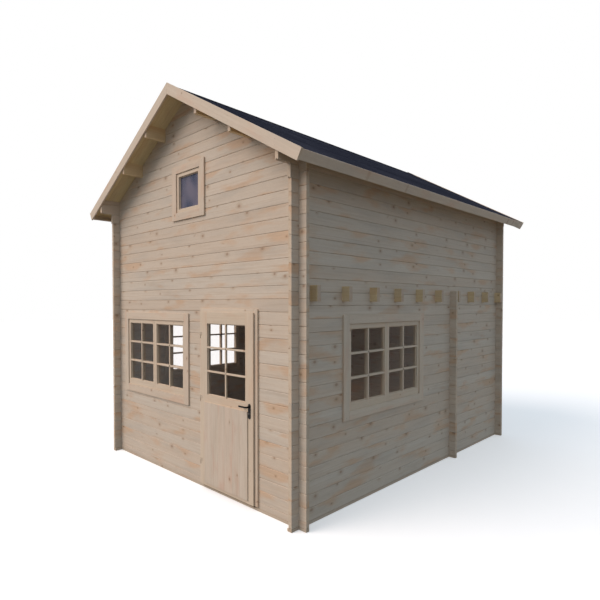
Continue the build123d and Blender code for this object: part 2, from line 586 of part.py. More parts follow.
def make_walls():
    """The four log walls and the partition, notched into each other."""
    door_half = DOOR_HOLE_W / 2
    door_hole = (DOOR_X - door_half, DOOR_X + door_half, SOLE_H, DOOR_OPENING_TOP)
    front_hole = wall_hole(WINDOW_W, WINDOW_H, WINDOW_Z, FRONT_WINDOW_X)
    gable_hole = wall_hole(GABLE_WINDOW_W, GABLE_WINDOW_H, GABLE_WINDOW_Z, 0.0)
    end_trim = [(ROOF_TRIM_FROM, RIDGE_Z, ROOF_TRIM)]
    for x in PURLIN_SPOTS:
        half = PURLIN_W / 2 + SEAT_GAP
        low = purlin_bottom(x) - SEAT_GAP
        end_trim.append((low, RIDGE_Z, block((x - half, x + half), (-LOG_T, LOG_T), (low, RIDGE_Z))))

    def end_reach(low_z):
        return RIGHT_X + LOG_END

    crossings = [(side * SIDE_WALL_X, z) for side in (-1, 1) for z in END_SADDLES]
    openings = [door_hole, front_hole, gable_hole]
    front = log_wall(END_COURSES, -1, end_reach, crossings, openings, end_trim)
    back = log_wall(END_COURSES, 1, end_reach, crossings, [], end_trim)
    save("front_wall", *stand(front, y=-END_WALL_Y))
    save("back_wall", *stand(back, y=END_WALL_Y))

    half = PARTITION_DOOR_W / 2
    passage = (PARTITION_DOOR_X - half, PARTITION_DOOR_X + half, SOLE_H, DOOR_OPENING_TOP)
    partition = log_wall(PARTITION_COURSES, 0, end_reach, crossings, [passage], [])
    save("partition_wall", *stand(partition, y=PARTITION_Y))

    crossings = [(side * END_WALL_Y, z) for side in (-1, 1) for z in SIDE_SADDLES]
    crossings += [(PARTITION_Y, z) for z in PARTITION_SADDLES]
    hole = wall_hole(WINDOW_W, WINDOW_H, WINDOW_Z, SIDE_WINDOW_Y)
    low = JOIST_TOP_Z - JOIST_H - SEAT_GAP
    high = JOIST_TOP_Z + SEAT_GAP
    half = JOIST_W / 2 + SEAT_GAP
    pockets = []
    for i in range(JOIST_COUNT):
        y = joist_y(i)
        pockets.append((low, high, block((y - half, y + half), (-LOG_T, LOG_T), (low, high))))
    plate_low = SIDE_COURSES[-PLATE_LOGS][0]
    corbel_low = SIDE_COURSES[-PLATE_LOGS - 1][0]

    def side_reach(low_z):
        if low_z >= plate_low:
            return BARGE_BACK_Y - SEAT_GAP
        reach = HOUSE_L / 2 + LOG_END
        return reach + CORBEL_OUT if low_z == corbel_low else reach

    for name, side in (("right_wall", 1), ("left_wall", -1)):
        wall = log_wall(SIDE_COURSES, -side, side_reach, crossings, [hole], pockets)
        pieces = []
        for piece in stand(wall, x=side * SIDE_WALL_X, turn=90):
            top = piece.bounding_box().max.Z
            pieces.extend(solids(piece - ROOF_TRIM) if top > ROOF_TRIM_FROM else [piece])
        save(name, *pieces)


def purlin_bottom(x):
    """Underside of a purlin whose top meets the roof deck at its higher edge."""
    inner = max(abs(x) - PURLIN_W / 2, 0.0)
    return roof_z(inner, ROOF_UNDER) - PURLIN_H


def purlin(x):
    """One purlin from bargeboard to bargeboard, its top bevelled to the slope."""
    reach = BARGE_BACK_Y - SEAT_GAP
    half = PURLIN_W / 2
    y = (-reach, reach)
    beam = block((x - half, x + half), y, (purlin_bottom(x), roof_z(0.0)))
    return beam - ROOF_TRIM


def make_roof():
    """Purlins, then deck and roofing between the bargeboards, eave boards and ridge strip."""
    save("purlins", *[purlin(x) for x in PURLIN_SPOTS if x != 0.0])
    save("ridge_purlin", purlin(0.0))
    deck_y = (-BARGE_BACK_Y, BARGE_BACK_Y)
    run = (0, ROOF_RUN - BARGE_T)
    for side, word in ((-1, "left"), (1, "right")):
        save("roof_deck_" + word, slope_prism(side, run, (BARGE_UP, ROOF_UNDER), deck_y))
        save("roofing_" + word, slope_prism(side, run, (BARGE_UP - FELT_T, BARGE_UP), deck_y))
    eave = (ROOF_RUN - BARGE_T, ROOF_RUN)
    save("eave_boards", *[slope_prism(side, eave, (EAVE_BOARD_DOWN, FASCIA_W), deck_y) for side in (-1, 1)])
    for end, word in ((-1, "front"), (1, "back")):
        y = sorted((end * BARGE_BACK_Y, end * BARGE_FRONT_Y))
        save(word + "_bargeboards", *mitred_pair((0, ROOF_RUN), (0, BARGE_W), y))
    strip = (BARGE_UP - 2 * FELT_T, BARGE_UP - FELT_T)
    save("ridge_cap", *mitred_pair((0, RIDGE_CAP_W), strip, deck_y))


def make_base():
    """Sole beams under every wall, flush with the outer faces."""
    side_y = (-HOUSE_L / 2 - LOG_END, HOUSE_L / 2 + LOG_END)
    z = (0.0, SOLE_H)
    beams = []
    for side in (-1, 1):
        x = sorted((side * RIGHT_X, side * (RIGHT_X - SOLE_W)))
        beams.append(block(x, side_y, z))
    inner = RIGHT_X - SOLE_W - SEAT_GAP
    ends = [sorted((end * HOUSE_L / 2, end * (HOUSE_L / 2 - SOLE_W))) for end in (-1, 1)]
    ends.append((PARTITION_Y - LOG_T / 2, PARTITION_Y + LOG_T / 2))
    for y in ends:
        beams.append(block((-inner, inner), y, z))
    stubs = [sorted((end * HOUSE_L / 2, end * INNER_Y)) for end in (-1, 1)] + [ends[2]]
    for y in stubs:
        for side in (-1, 1):
            x = sorted((side * (RIGHT_X + SEAT_GAP), side * (RIGHT_X + LOG_END)))
            beams.append(block(x, y, z))
    save("sole_beams", *beams)


def make_floors():
    """Ground floor on its joists, loft floor on the joists that show outside."""
    edge = SOLE_W + SEAT_GAP
    front = (-HOUSE_L / 2 + edge, PARTITION_Y - LOG_T / 2 - SEAT_GAP)
    rear = (PARTITION_Y + LOG_T / 2 + SEAT_GAP, HOUSE_L / 2 - edge)
    joist_x = (-RIGHT_X + edge, RIGHT_X - edge)
    joists = []
    for span in (front, rear):
        y = span[0]
        while y + FLOOR_JOIST_W < span[1]:
            joists.append(block(joist_x, (y, y + FLOOR_JOIST_W), (0.0, FLOOR_JOIST_H)))
            y += FLOOR_JOIST_PITCH
    save("floor_joists", *joists)
    board_x = (-INNER_X + FLOOR_EDGE, INNER_X - FLOOR_EDGE)
    board_z = (FLOOR_JOIST_H, FLOOR_TOP)
    wall_y = (-INNER_Y + FLOOR_EDGE, PARTITION_Y - LOG_T / 2 - FLOOR_EDGE)
    rear_y = (PARTITION_Y + LOG_T / 2 + FLOOR_EDGE, INNER_Y - FLOOR_EDGE)
    save("ground_floor", block(board_x, wall_y, board_z), block(board_x, rear_y, board_z))

    z = (JOIST_TOP_Z - JOIST_H, JOIST_TOP_Z)
    reach = RIGHT_X + JOIST_END
    beams = []
    for i in range(JOIST_COUNT):
        y = joist_y(i)
        beams.append(block((-reach, reach), (y - JOIST_W / 2, y + JOIST_W / 2), z))
    save("loft_joists", *beams)
    loft_z = (JOIST_TOP_Z, JOIST_TOP_Z + FLOORBOARD_T)
    hatch_y = (joist_y(HATCH_AFTER_JOIST) + JOIST_W / 2, joist_y(HATCH_AFTER_JOIST + 1) - JOIST_W / 2)
    hatch_x = (HATCH_X - HATCH_L / 2, HATCH_X + HATCH_L / 2)
    loft_y = (-INNER_Y + FLOOR_EDGE, INNER_Y - FLOOR_EDGE)
    save(
        "loft_floor",
        block(board_x, (loft_y[0], hatch_y[0]), loft_z),
        block((board_x[0], hatch_x[0]), (hatch_y[0] + SEAT_GAP, hatch_y[1] - SEAT_GAP), loft_z),
        block((hatch_x[1], board_x[1]), (hatch_y[0] + SEAT_GAP, hatch_y[1] - SEAT_GAP), loft_z),
        block(board_x, (hatch_y[1], loft_y[1]), loft_z),
    )


make_base()
make_walls()
make_roof()
make_floors()
make_windows()
make_door_frame()
make_door_leaf()
make_hinges()
make_handle()
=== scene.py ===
import bpy
import math
import numpy as np
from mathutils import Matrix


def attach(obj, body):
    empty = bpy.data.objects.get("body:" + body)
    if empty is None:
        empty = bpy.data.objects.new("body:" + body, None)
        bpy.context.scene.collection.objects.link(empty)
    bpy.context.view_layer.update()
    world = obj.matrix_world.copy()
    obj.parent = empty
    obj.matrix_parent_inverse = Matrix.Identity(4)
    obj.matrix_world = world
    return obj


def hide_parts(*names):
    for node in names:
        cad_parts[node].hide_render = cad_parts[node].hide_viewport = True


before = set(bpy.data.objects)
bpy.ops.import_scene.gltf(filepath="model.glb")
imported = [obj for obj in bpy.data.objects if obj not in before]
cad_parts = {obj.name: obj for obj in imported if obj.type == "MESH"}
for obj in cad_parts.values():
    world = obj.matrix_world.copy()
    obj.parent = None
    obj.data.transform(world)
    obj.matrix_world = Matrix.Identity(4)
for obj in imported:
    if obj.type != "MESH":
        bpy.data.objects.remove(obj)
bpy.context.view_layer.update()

# Log house with a loft, in metres: X along the front, the front faces -Y, Z up.
# The sizes repeat the named ones of the solids, apart from the ridge beam's height.
HOUSE_W = 3.8
HOUSE_L = 4.8
LOG_T = 0.044
LOG_H = 0.135
LOG_END = 0.100
CORBEL_OUT = 0.012
LEAST_TOP_LOG = 0.040
LOG_CHAMFER = 0.0048
LOG_GAP = 0.0012  # open joint in front of the tongue
TONGUE_H = 0.009
TONGUE_HALF = 0.007
TONGUE_TAPER = 0.001
GROOVE_PLAY = 0.0005
SOLE_H = 0.030
SOLE_W = 0.060
HAIR = 0.0003  # between pieces that touch
FAR = 99.0  # beyond every end

# Eased edges and end bevels
EASE = 0.002
END_BEVEL = 0.0015
LOG_END_BEVEL = 0.0020
SEAM = 0.0003  # end bevel where two lengths meet
SOLE_EASE = 0.0015
JOIST_EASE = 0.003
FLOOR_EASE = 0.0012
DECK_EASE = 0.0028
BARGE_EASE = 0.0025
CASING_EASE = 0.0022
FRAME_EASE = 0.0012
SASH_EASE = 0.0025
GLAZING_EASE = 0.003
DOOR_BAR_EASE = 0.004
PANEL_EASE = 0.0018
SILL_EASE = 0.003
SILL_NOSE_EASE = 0.004
FINE_EASE = 0.001  # where a piece can't be seen from outside
STEEL_EASE = 0.0008

# Nails and screws: radius and height of the heads, and their distance from the boards' ends
NAIL_R = 0.0028
NAIL_HEAD = 0.0006
BARGE_NAIL_R = 0.0030
NAIL_PROUD = 0.0008  # the bargeboards lie back by it, so the heads keep within the verge
NAIL_IN = 0.03
LEVEL_NAIL_IN = 0.06
DOOR_NAIL_IN = 0.018
DOOR_NAIL_UP = 0.05
APEX_NAIL_X = 0.05
BARGE_NAIL_DOWN = (0.035, 0.085)
HINGE_SCREW_R = 0.0030
HINGE_SCREW_HEAD = 0.0009
HANDLE_SCREW_R = 0.0036
HANDLE_SCREW_HEAD = 0.0010
LOCK_R = 0.0085
LOCK_PROUD = 0.0022

# Sizes of the roof
RIDGE_Z = 4.837
BARGE_UP = 0.018
EAVE_BOARD_DOWN = 0.008
SLOPE = math.radians(29.67)
RISE = math.tan(SLOPE)
EAVE_OUT = 0.320
VERGE_OUT = 0.296
BARGE_W = 0.120
BARGE_T = 0.022
FASCIA_W = 0.108
DECK_T = 0.019
DECK_BOARD_W = 0.096
FELT_T = 0.004
FELT_SHEET = 0.0020  # a strip's own thickness
FELT_UPTURN = 0.009  # along the bargeboards
FELT_TURN_FROM = 0.016  # from the bargeboard to where the edge starts to turn up
FELT_TURN_W = 0.013
FELT_SIDE = 0.018  # width in which the turned-up edge is drawn finely
FELT_PLAIN_IN = 0.04  # from the bargeboard to the first evenly spaced line
CLOUT_R = 0.005
CLOUT_PROUD = 0.0010
CLOUT_PITCH = 0.15
CLOUT_IN = 0.04  # from the bargeboard
CLOUT_UP = 0.03  # above a lap
EAVE_CLOUT_UP = 0.035
CAP_CLOUT_IN = 0.02
RIDGE_CAP_W = 0.150
RIDGE_BEND_R = 0.0035
PURLIN_W = 0.044
PURLIN_H = 0.165
RIDGE_BEAM_H = 0.095  # lower than the solid's: none of it shows below the bargeboards
PURLIN_INNER_X = 0.556
PURLIN_OUTER_X = 1.168
PLATE_LOGS = 2

# Sizes of the loft and the floors
JOIST_COUNT = 10
JOIST_PITCH = 0.504
JOIST_FIRST_Y = -2.214
JOIST_W = 0.056
JOIST_H = 0.160
FLOORBOARD_T = 0.020
FLOORBOARD_W = 0.115
FLOOR_JOIST_W = 0.045
FLOOR_JOIST_H = 0.050
FLOOR_JOIST_PITCH = 0.560
FLOOR_EDGE = 0.008
HATCH_X = (-1.700, -0.900)
HATCH_AFTER_JOIST = 7

# Partition and its doorway
PARTITION_Y = 0.732
PARTITION_DOOR = (-1.320, -0.480)

# Sizes of the windows
WINDOW_W = 1.476
WINDOW_H = 0.950
WINDOW_Z = 1.040
FRONT_WINDOW_X = -0.832
SIDE_WINDOW_Y = -0.892
GABLE_WINDOW_W = 0.515
GABLE_WINDOW_H = 0.495
GABLE_WINDOW_Z = 3.358
SASH_STILE = 0.044
SASH_BOTTOM = 0.080
SASH_TOP = 0.054
SASH_D = 0.060
SASH_GAP = 0.002
SASH_OUT = 0.006
BAR_W = 0.024
BAR_INSET = 0.003
PANE_T = 0.005
BEAD = 0.009
FRAME_T = 0.028
FRAME_D = 0.072
FRAME_PLAY = 0.0025
FRAME_STOP = 0.010
CASING_T = 0.020
CASING_W = 0.098
GABLE_CASING_W = 0.095

# Sizes of the entry door
DOOR_HOLE = (0.2935, 1.2785)
LEAF_X = (0.306, 1.266)
LEAF_Z = (0.055, 2.111)
BODY_X = (0.331, 1.238)
BODY_Z = (0.080, 2.083)
LEAF_FACE_Y = -2.441
LEAF_LIP_BACK = -2.425
LEAF_BACK_Y = -2.387
DOOR_STILE = 0.130
DOOR_GLASS_Z = (1.139, 1.977)
DOOR_BAR_W = 0.022
DOOR_BAR_Y = (-2.440, -2.418)
PANEL_X = (0.391, 1.181)
PANEL_Z = (0.092, 1.052)
PANEL_RAIL = 0.090
PANEL_PROUD = 0.012
PANEL_INNER_T = 0.022
PANEL_BOARDS = 6
DOOR_CLEAR_X = (0.326, 1.246)
DOOR_CLEAR_TOP = 2.091
DOOR_CASING_X = (0.262, 1.310)
DOOR_CASING_Z = (0.050, 2.151)
JAMB_T = 0.030
THRESHOLD_TOP = 0.075
THRESHOLD_OUT = 0.018
THRESHOLD_IN = 0.020
HINGE_X = 0.298
HINGE_HEIGHTS = (0.330, 1.083, 1.836)
HINGE_HALF_H = 0.038
HINGE_R = 0.007
HINGE_PIN_R = 0.0035
HINGE_PLATE_T = 0.003
HINGE_CLEAR = 0.001
HINGE_WING = 0.030  # over the leaf
HINGE_PIN_FROM = 0.004  # above the barrel's foot
HINGE_PIN_UP = 0.030  # above the line where the halves meet
HINGE_SCREW_IN = (0.009, 0.022)
HINGE_SCREW_UP = (0.012, 0.028)
LEVER_X = 1.207
LEVER_Z = 1.108
LEVER_REACH = 0.130
LEVER_OUT = 0.048
LEVER_BEND = 0.017
LEVER_NECK_R = 0.0090
LEVER_GRIP_HALF = 0.0055
LEVER_FLATTEN = 0.030  # past the bend, where the grip has its full shape
LEVER_TIP = 0.012
LEVER_ROUNDNESS = 0.55
SPINDLE_HALF = 0.005
LOCK_DOWN = 0.072  # below the lever
PLATE_SCREW_IN = 0.014
PLATE_Z = (0.978, 1.141)
PLATE_W = 0.038
PLATE_T = 0.008

# Camera of the photograph, fitted to the house's corners. Angles are in degrees.
CAMERA_AT = (5.133, -5.731, 2.205)
CAMERA_TURN = 44.0
CAMERA_DOWN = 1.21
FOCAL_PIXELS = 479.63
PRINCIPAL_Y = 314.22
PICTURE = 600  # pixels each way
SENSOR = 36.0  # millimetres

# Studio: the glow all round and the one lamp
SKY_GLOW = (0.42, 0.50, 0.58)
GROUND_GLOW = (0.13, 0.12, 0.11)
KEY_COLOUR = (1.0, 0.84, 0.745)
KEY_STRENGTH = 2.22
KEY_SOFTNESS = 50.0
KEY_HEIGHT = 38.0
KEY_TURN = -28.0
STUDIO_HALF = 60.0

# Places worked out from the sizes above
FRONT_Y = -HOUSE_L / 2
RIGHT_X = HOUSE_W / 2
INNER_X = RIGHT_X - LOG_T
INNER_Y = HOUSE_L / 2 - LOG_T
ROOF_RUN = (HOUSE_W / 2 + EAVE_OUT) / math.cos(SLOPE)
ROOF_UNDER = BARGE_UP + DECK_T
BARGE_FRONT_Y = HOUSE_L / 2 + VERGE_OUT
BARGE_BACK_Y = BARGE_FRONT_Y - BARGE_T
DOOR_OPENING_TOP = SOLE_H + LOG_H / 2 + 15 * LOG_H
JOIST_TOP_Z = SOLE_H + LOG_H / 2 + 17 * LOG_H
FLOOR_TOP = FLOOR_JOIST_H + FLOORBOARD_T
FLOOR_X = INNER_X - FLOOR_EDGE
FLOOR_Y = INNER_Y - FLOOR_EDGE
PARTITION_FRONT = PARTITION_Y - LOG_T / 2
PARTITION_BACK = PARTITION_Y + LOG_T / 2
DOOR_GLASS_X = (LEAF_X[0] + DOOR_STILE, LEAF_X[1] - DOOR_STILE)
PANEL_OPEN_Z = (PANEL_Z[0] + PANEL_RAIL, PANEL_Z[1] - PANEL_RAIL)

UNIT = np.eye(3)
dice = np.random.default_rng(4815)


def roof_z(x, below=0.0):
    """
    Height of the bargeboards' top edge at x, or of a plane that lies below it: the ridge
    less |x| tan(slope), less below / cos(slope).
    """
    return RIDGE_Z - abs(x) * RISE - below / math.cos(SLOPE)


# Bars of wood: a profile carried along a straight line

# A profile row (a, b, c, d, e, f) is a point that lies a times half the width, plus b times
# the eased edge, plus c across the bar, and d, e and f likewise through its thickness.
# An eased edge is a quarter circle in three points.
QUARTER = ((1.0, 0.0), (0.29, 0.29), (0.0, 1.0))


def eased_profile():
    """Rectangle with its four edges eased by three points each, counter-clockwise."""
    rows = []
    for sv, sw, turned in ((1, -1, False), (1, 1, True), (-1, 1, False), (-1, -1, True)):
        for dv, dw in QUARTER[::-1] if turned else QUARTER:
            rows.append((sv, -sv * dv, 0.0, sw, -sw * dw, 0.0))
    return np.array(rows)


def log_profile():
    """Log with four chamfered edges, a tongue on top and a groove underneath."""
    tongue, groove = TONGUE_HALF, TONGUE_HALF + GROOVE_PLAY
    tip = tongue - TONGUE_TAPER
    deep = TONGUE_H + 2 * GROOVE_PLAY
    return np.array([
        (1, -1, 0, -1, 0, 0), (1, 0, 0, -1, 1, 0),
        (1, 0, 0, 0, 0, -tongue), (1, 0, TONGUE_H, 0, 0, -tip),
        (1, 0, TONGUE_H, 0, 0, tip), (1, 0, 0, 0, 0, tongue),
        (1, 0, 0, 1, -1, 0), (1, -1, 0, 1, 0, 0),
        (-1, 1, 0, 1, 0, 0), (-1, 0, 0, 1, -1, 0),
        (-1, 0, 0, 0, 0, groove), (-1, 0, deep, 0, 0, groove),
        (-1, 0, deep, 0, 0, -groove), (-1, 0, 0, 0, 0, -groove),
        (-1, 0, 0, -1, 1, 0), (-1, 1, 0, -1, 0, 0),
    ])


EASED = eased_profile()
LOG = log_profile()
GRAIN_SHIFT = 61.0  # how far apart the grain of two bars can lie, in metres


def bar(low, high, along=0, ease=EASE, ends=(END_BEVEL, END_BEVEL), axes=None, profile=EASED,
        start=(-FAR, 0.0), stop=(FAR, 0.0), top=(FAR, 0.0), centre=None, luck=None):
    """
    One bar between two corners. along is the axis of its length; axes gives other ones
    (length, width, thickness). start and stop are (a, b): the ends also keep inside
    a + b * width coordinate. top is (a, b): the width coordinate keeps under a + b * thickness
    coordinate. centre is the place that its grain is measured from, and luck its own random
    numbers, so that bars of one log share them.
    """
    if axes is None:
        u = UNIT[along]
        v = UNIT[2] if along < 2 else UNIT[0]
        axes = np.array([u, v, np.cross(u, v)])
        a, b = axes @ np.array(low, float), axes @ np.array(high, float)
        low, high = np.minimum(a, b), np.maximum(a, b)
    low, high = np.array(low, float), np.array(high, float)
    middle = (low + high) / 2 if centre is None else centre
    return {
        "low": low, "high": high, "axes": axes, "ease": ease, "ends": ends,
        "start": start, "stop": stop, "top": top, "middle": middle, "profile": profile,
        "luck": dice.random(3) if luck is None else luck,
    }


def carried(bars, profile):
    """
    Surface points of bars that share a profile. Point (k, j) of a bar lies at
    U u(k, j) + V v(k, j) + W w(k, j): v and w are profile point j, drawn in by the end bevel
    on the first and last of the four rings, and u is the ring's place along the length, kept
    between the lines start and stop, which depend on v.
    """
    def get(key):
        """One value of all bars as an array."""
        return np.array([b[key] for b in bars], float)

    low, high, axes = get("low"), get("high"), get("axes")
    half, mid = (high - low) / 2, (high + low) / 2
    ease = get("ease")[:, None]
    a, b, c, d, e, f = profile.T
    v = a * half[:, 1:2] + b * ease + c
    w = d * half[:, 2:3] + e * ease + f
    bevel = get("ends")
    inset = np.stack([bevel[:, 0], 0 * ease[:, 0], 0 * ease[:, 0], bevel[:, 1]], 1)[:, :, None]
    v = v[:, None, :] * (1 - inset / half[:, 1:2, None]) + mid[:, 1, None, None]
    w = w[:, None, :] * (1 - inset / half[:, 2:3, None]) + mid[:, 2, None, None]
    top = get("top")
    v = np.minimum(v, top[:, 0, None, None] + top[:, 1, None, None] * w)
    start, stop = get("start"), get("stop")
    first = np.maximum(low[:, 0, None, None], start[:, 0, None, None] + start[:, 1, None, None] * v)
    last = np.minimum(high[:, 0, None, None], stop[:, 0, None, None] + stop[:, 1, None, None] * v)
    centre = mid[:, 0, None, None]
    first, last = np.minimum(first, centre), np.maximum(last, centre)
    u = np.stack([
        first[:, 0], first[:, 1] + bevel[:, :1], last[:, 2] - bevel[:, 1:], last[:, 3],
    ], 1)
    flat = np.stack([u, v, w], -1)
    points = np.einsum("nkjc,ncx->nkjx", flat, axes)
    luck = get("luck")
    grain = flat - get("middle")[:, None, None, :] * (0.0, 1.0, 1.0)
    grain[..., 0] += GRAIN_SHIFT * luck[:, 0, None, None]
    tone = np.broadcast_to(luck[:, None, None, :], flat.shape)
    end = np.broadcast_to(np.array([1.0, 0.0, 0.0, 1.0])[None, :, None], u.shape)
    n, m = len(bars), len(profile)
    grid = np.arange(n * 4 * m).reshape(n, 4, m)
    right = np.roll(grid, -1, 2)
    quads = np.stack([grid[:, :-1], right[:, :-1], right[:, 1:], grid[:, 1:]], -1).reshape(-1, 4)
    caps = np.concatenate([grid[:, 0, ::-1], grid[:, 3]])
    return {
        "points": points.reshape(-1, 3),
        "faces": [quads, caps],
        "grain": grain.reshape(-1, 3), "tone": tone.reshape(-1, 3), "end": end.reshape(-1),
    }


def solid(name, blocks, finish, replaces=(), body="house", place=None):
    """
    One mesh object from blocks of points and faces, with its attributes and finish. It
    rides on a body and stands for the solids that it replaces.
    """
    points = np.concatenate([b["points"] for b in blocks])
    if place is not None:
        turn, move = place
        points = points @ turn.T + move
    corners, sizes, base = [], [], 0
    for b in blocks:
        for faces in b["faces"]:
            corners.append((faces + base).reshape(-1))
            sizes.append(np.full(len(faces), faces.shape[1]))
        base += len(b["points"])
    corners, sizes = np.concatenate(corners), np.concatenate(sizes)
    mesh = bpy.data.meshes.new(name)
    mesh.vertices.add(len(points))
    mesh.vertices.foreach_set("co", points.reshape(-1).astype(np.float32))
    mesh.loops.add(len(corners))
    mesh.loops.foreach_set("vertex_index", corners.astype(np.int32))
    mesh.polygons.add(len(sizes))
    mesh.polygons.foreach_set("loop_start", (np.cumsum(sizes) - sizes).astype(np.int32))
    mesh.polygons.foreach_set("use_smooth", np.zeros(len(sizes), bool))
    mesh.update(calc_edges=True)
    for key, kind, field in (("grain", "FLOAT_VECTOR", "vector"), ("tone", "FLOAT_VECTOR", "vector"),
                             ("end", "FLOAT", "value")):
        if all(key in b for b in blocks):
            data = mesh.attributes.new(key, kind, "POINT").data
            values = np.concatenate([b[key].reshape(-1) for b in blocks])
            data.foreach_set(field, values.astype(np.float32))
    mesh.validate()
    mesh.materials.append(finish)
    made = bpy.data.objects.new(name, mesh)
    bpy.context.scene.collection.objects.link(made)
    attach(made, body)
    if replaces:
        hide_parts(*replaces)
    return made


def timber(name, bars, finish, replaces=(), body="house", place=None):
    """One piece of bars, in a block for each profile that they have."""
    blocks = []
    for profile in (EASED, LOG):
        chosen = [b for b in bars if b["profile"] is profile]
        if chosen:
            blocks.append(carried(chosen, profile))
    return solid(name, blocks, finish, replaces, body, place)


# Finishes

def srgb(r, g, b):
    """A colour as it looks on a screen, 0 to 255, made linear."""
    c = np.array([r, g, b]) / 255
    return (*np.where(c <= 0.04045, c / 12.92, ((c + 0.055) / 1.055) ** 2.4), 1.0)


class Finish:
    """The node tree of one material, put together step by step."""

    def __init__(self, name, **sockets):
        """New material; sockets are values of the shader, with _ for a space in their names."""
        self.material = bpy.data.materials.new(name)
        self.material.use_nodes = True
        self.tree = self.material.node_tree
        self.shader = self.tree.nodes["Principled BSDF"]
        for socket, value in sockets.items():
            self.shader.inputs[socket.replace("_", " ")].default_value = value

    def feed(self, socket, value):
        """Link an output to a socket, or set a number or colour on it."""
        if isinstance(value, bpy.types.NodeSocket):
            self.tree.links.new(value, socket)
        else:
            socket.default_value = value

    def add(self, kind, inputs, **settings):
        """New node with its settings and what feeds its inputs."""
        node = self.tree.nodes.new("ShaderNode" + kind)
        for key, value in settings.items():
            setattr(node, key, value)
        for key, value in inputs.items():
            self.feed(node.inputs[key], value)
        return node

    def math(self, operation, *values):
        """One operation on numbers."""
        return self.add("Math", dict(enumerate(values)), operation=operation).outputs[0]

    def plus(self, a, b):
        """a + b."""
        return self.math("ADD", a, b)

    def times(self, a, b):
        """a b."""
        return self.math("MULTIPLY", a, b)

    def times_add(self, a, b, c):
        """a b + c."""
        return self.math("MULTIPLY_ADD", a, b, c)

    def power(self, a, b):
        """a to the power b."""
        return self.math("POWER", a, b)

    def vector(self, operation, *values):
        """One operation on vectors."""
        return self.add("VectorMath", dict(enumerate(values)), operation=operation).outputs[0]

    def mix(self, share, a, b, how="MIX"):
        """Colour a with a share of colour b."""
        node = self.add("Mix", {0: share, 6: a, 7: b}, data_type="RGBA", blend_type=how)
        return node.outputs[2]

    def step(self, value, low, high, to_low=0.0, to_high=1.0):
        """Smooth step from to_low at low to to_high at high."""
        inputs = {0: value, 1: low, 2: high, 3: to_low, 4: to_high}
        return self.add("MapRange", inputs, interpolation_type="SMOOTHSTEP").outputs[0]

    def noise(self, where, scale, detail=2.0, rough=0.5):
        """Noise between 0 and 1; scale is waves to the metre along each axis."""
        spread = self.vector("MULTIPLY", where, scale)
        inputs = {"Vector": spread, "Scale": 1.0, "Detail": detail, "Roughness": rough}
        return self.add("TexNoise", inputs).outputs[0]

    def place(self):
        """Place on the object, in metres."""
        return self.add("TexCoord", {}).outputs["Object"]

    def attribute(self, name, output="Vector"):
        """What the mesh carries under a name."""
        return self.add("Attribute", {}, attribute_name=name).outputs[output]

    def parts(self, vector):
        """x, y and z of a vector."""
        return self.add("SeparateXYZ", {0: vector}).outputs

    def join(self, x, y, z):
        """Vector of x, y and z."""
        return self.add("CombineXYZ", {0: x, 1: y, 2: z}).outputs[0]

    def done(self, colour, rough=None, height=None, depth=0.0005, strength=0.5):
        """Feed the shader, with height as fine relief, and hand over the material."""
        self.feed(self.shader.inputs["Base Color"], colour)
        if rough is not None:
            self.feed(self.shader.inputs["Roughness"], rough)
        if height is not None:
            bump = self.add("Bump", {"Strength": strength, "Distance": depth, "Height": height})
            self.feed(self.shader.inputs["Normal"], bump.outputs[0])
        return self.material


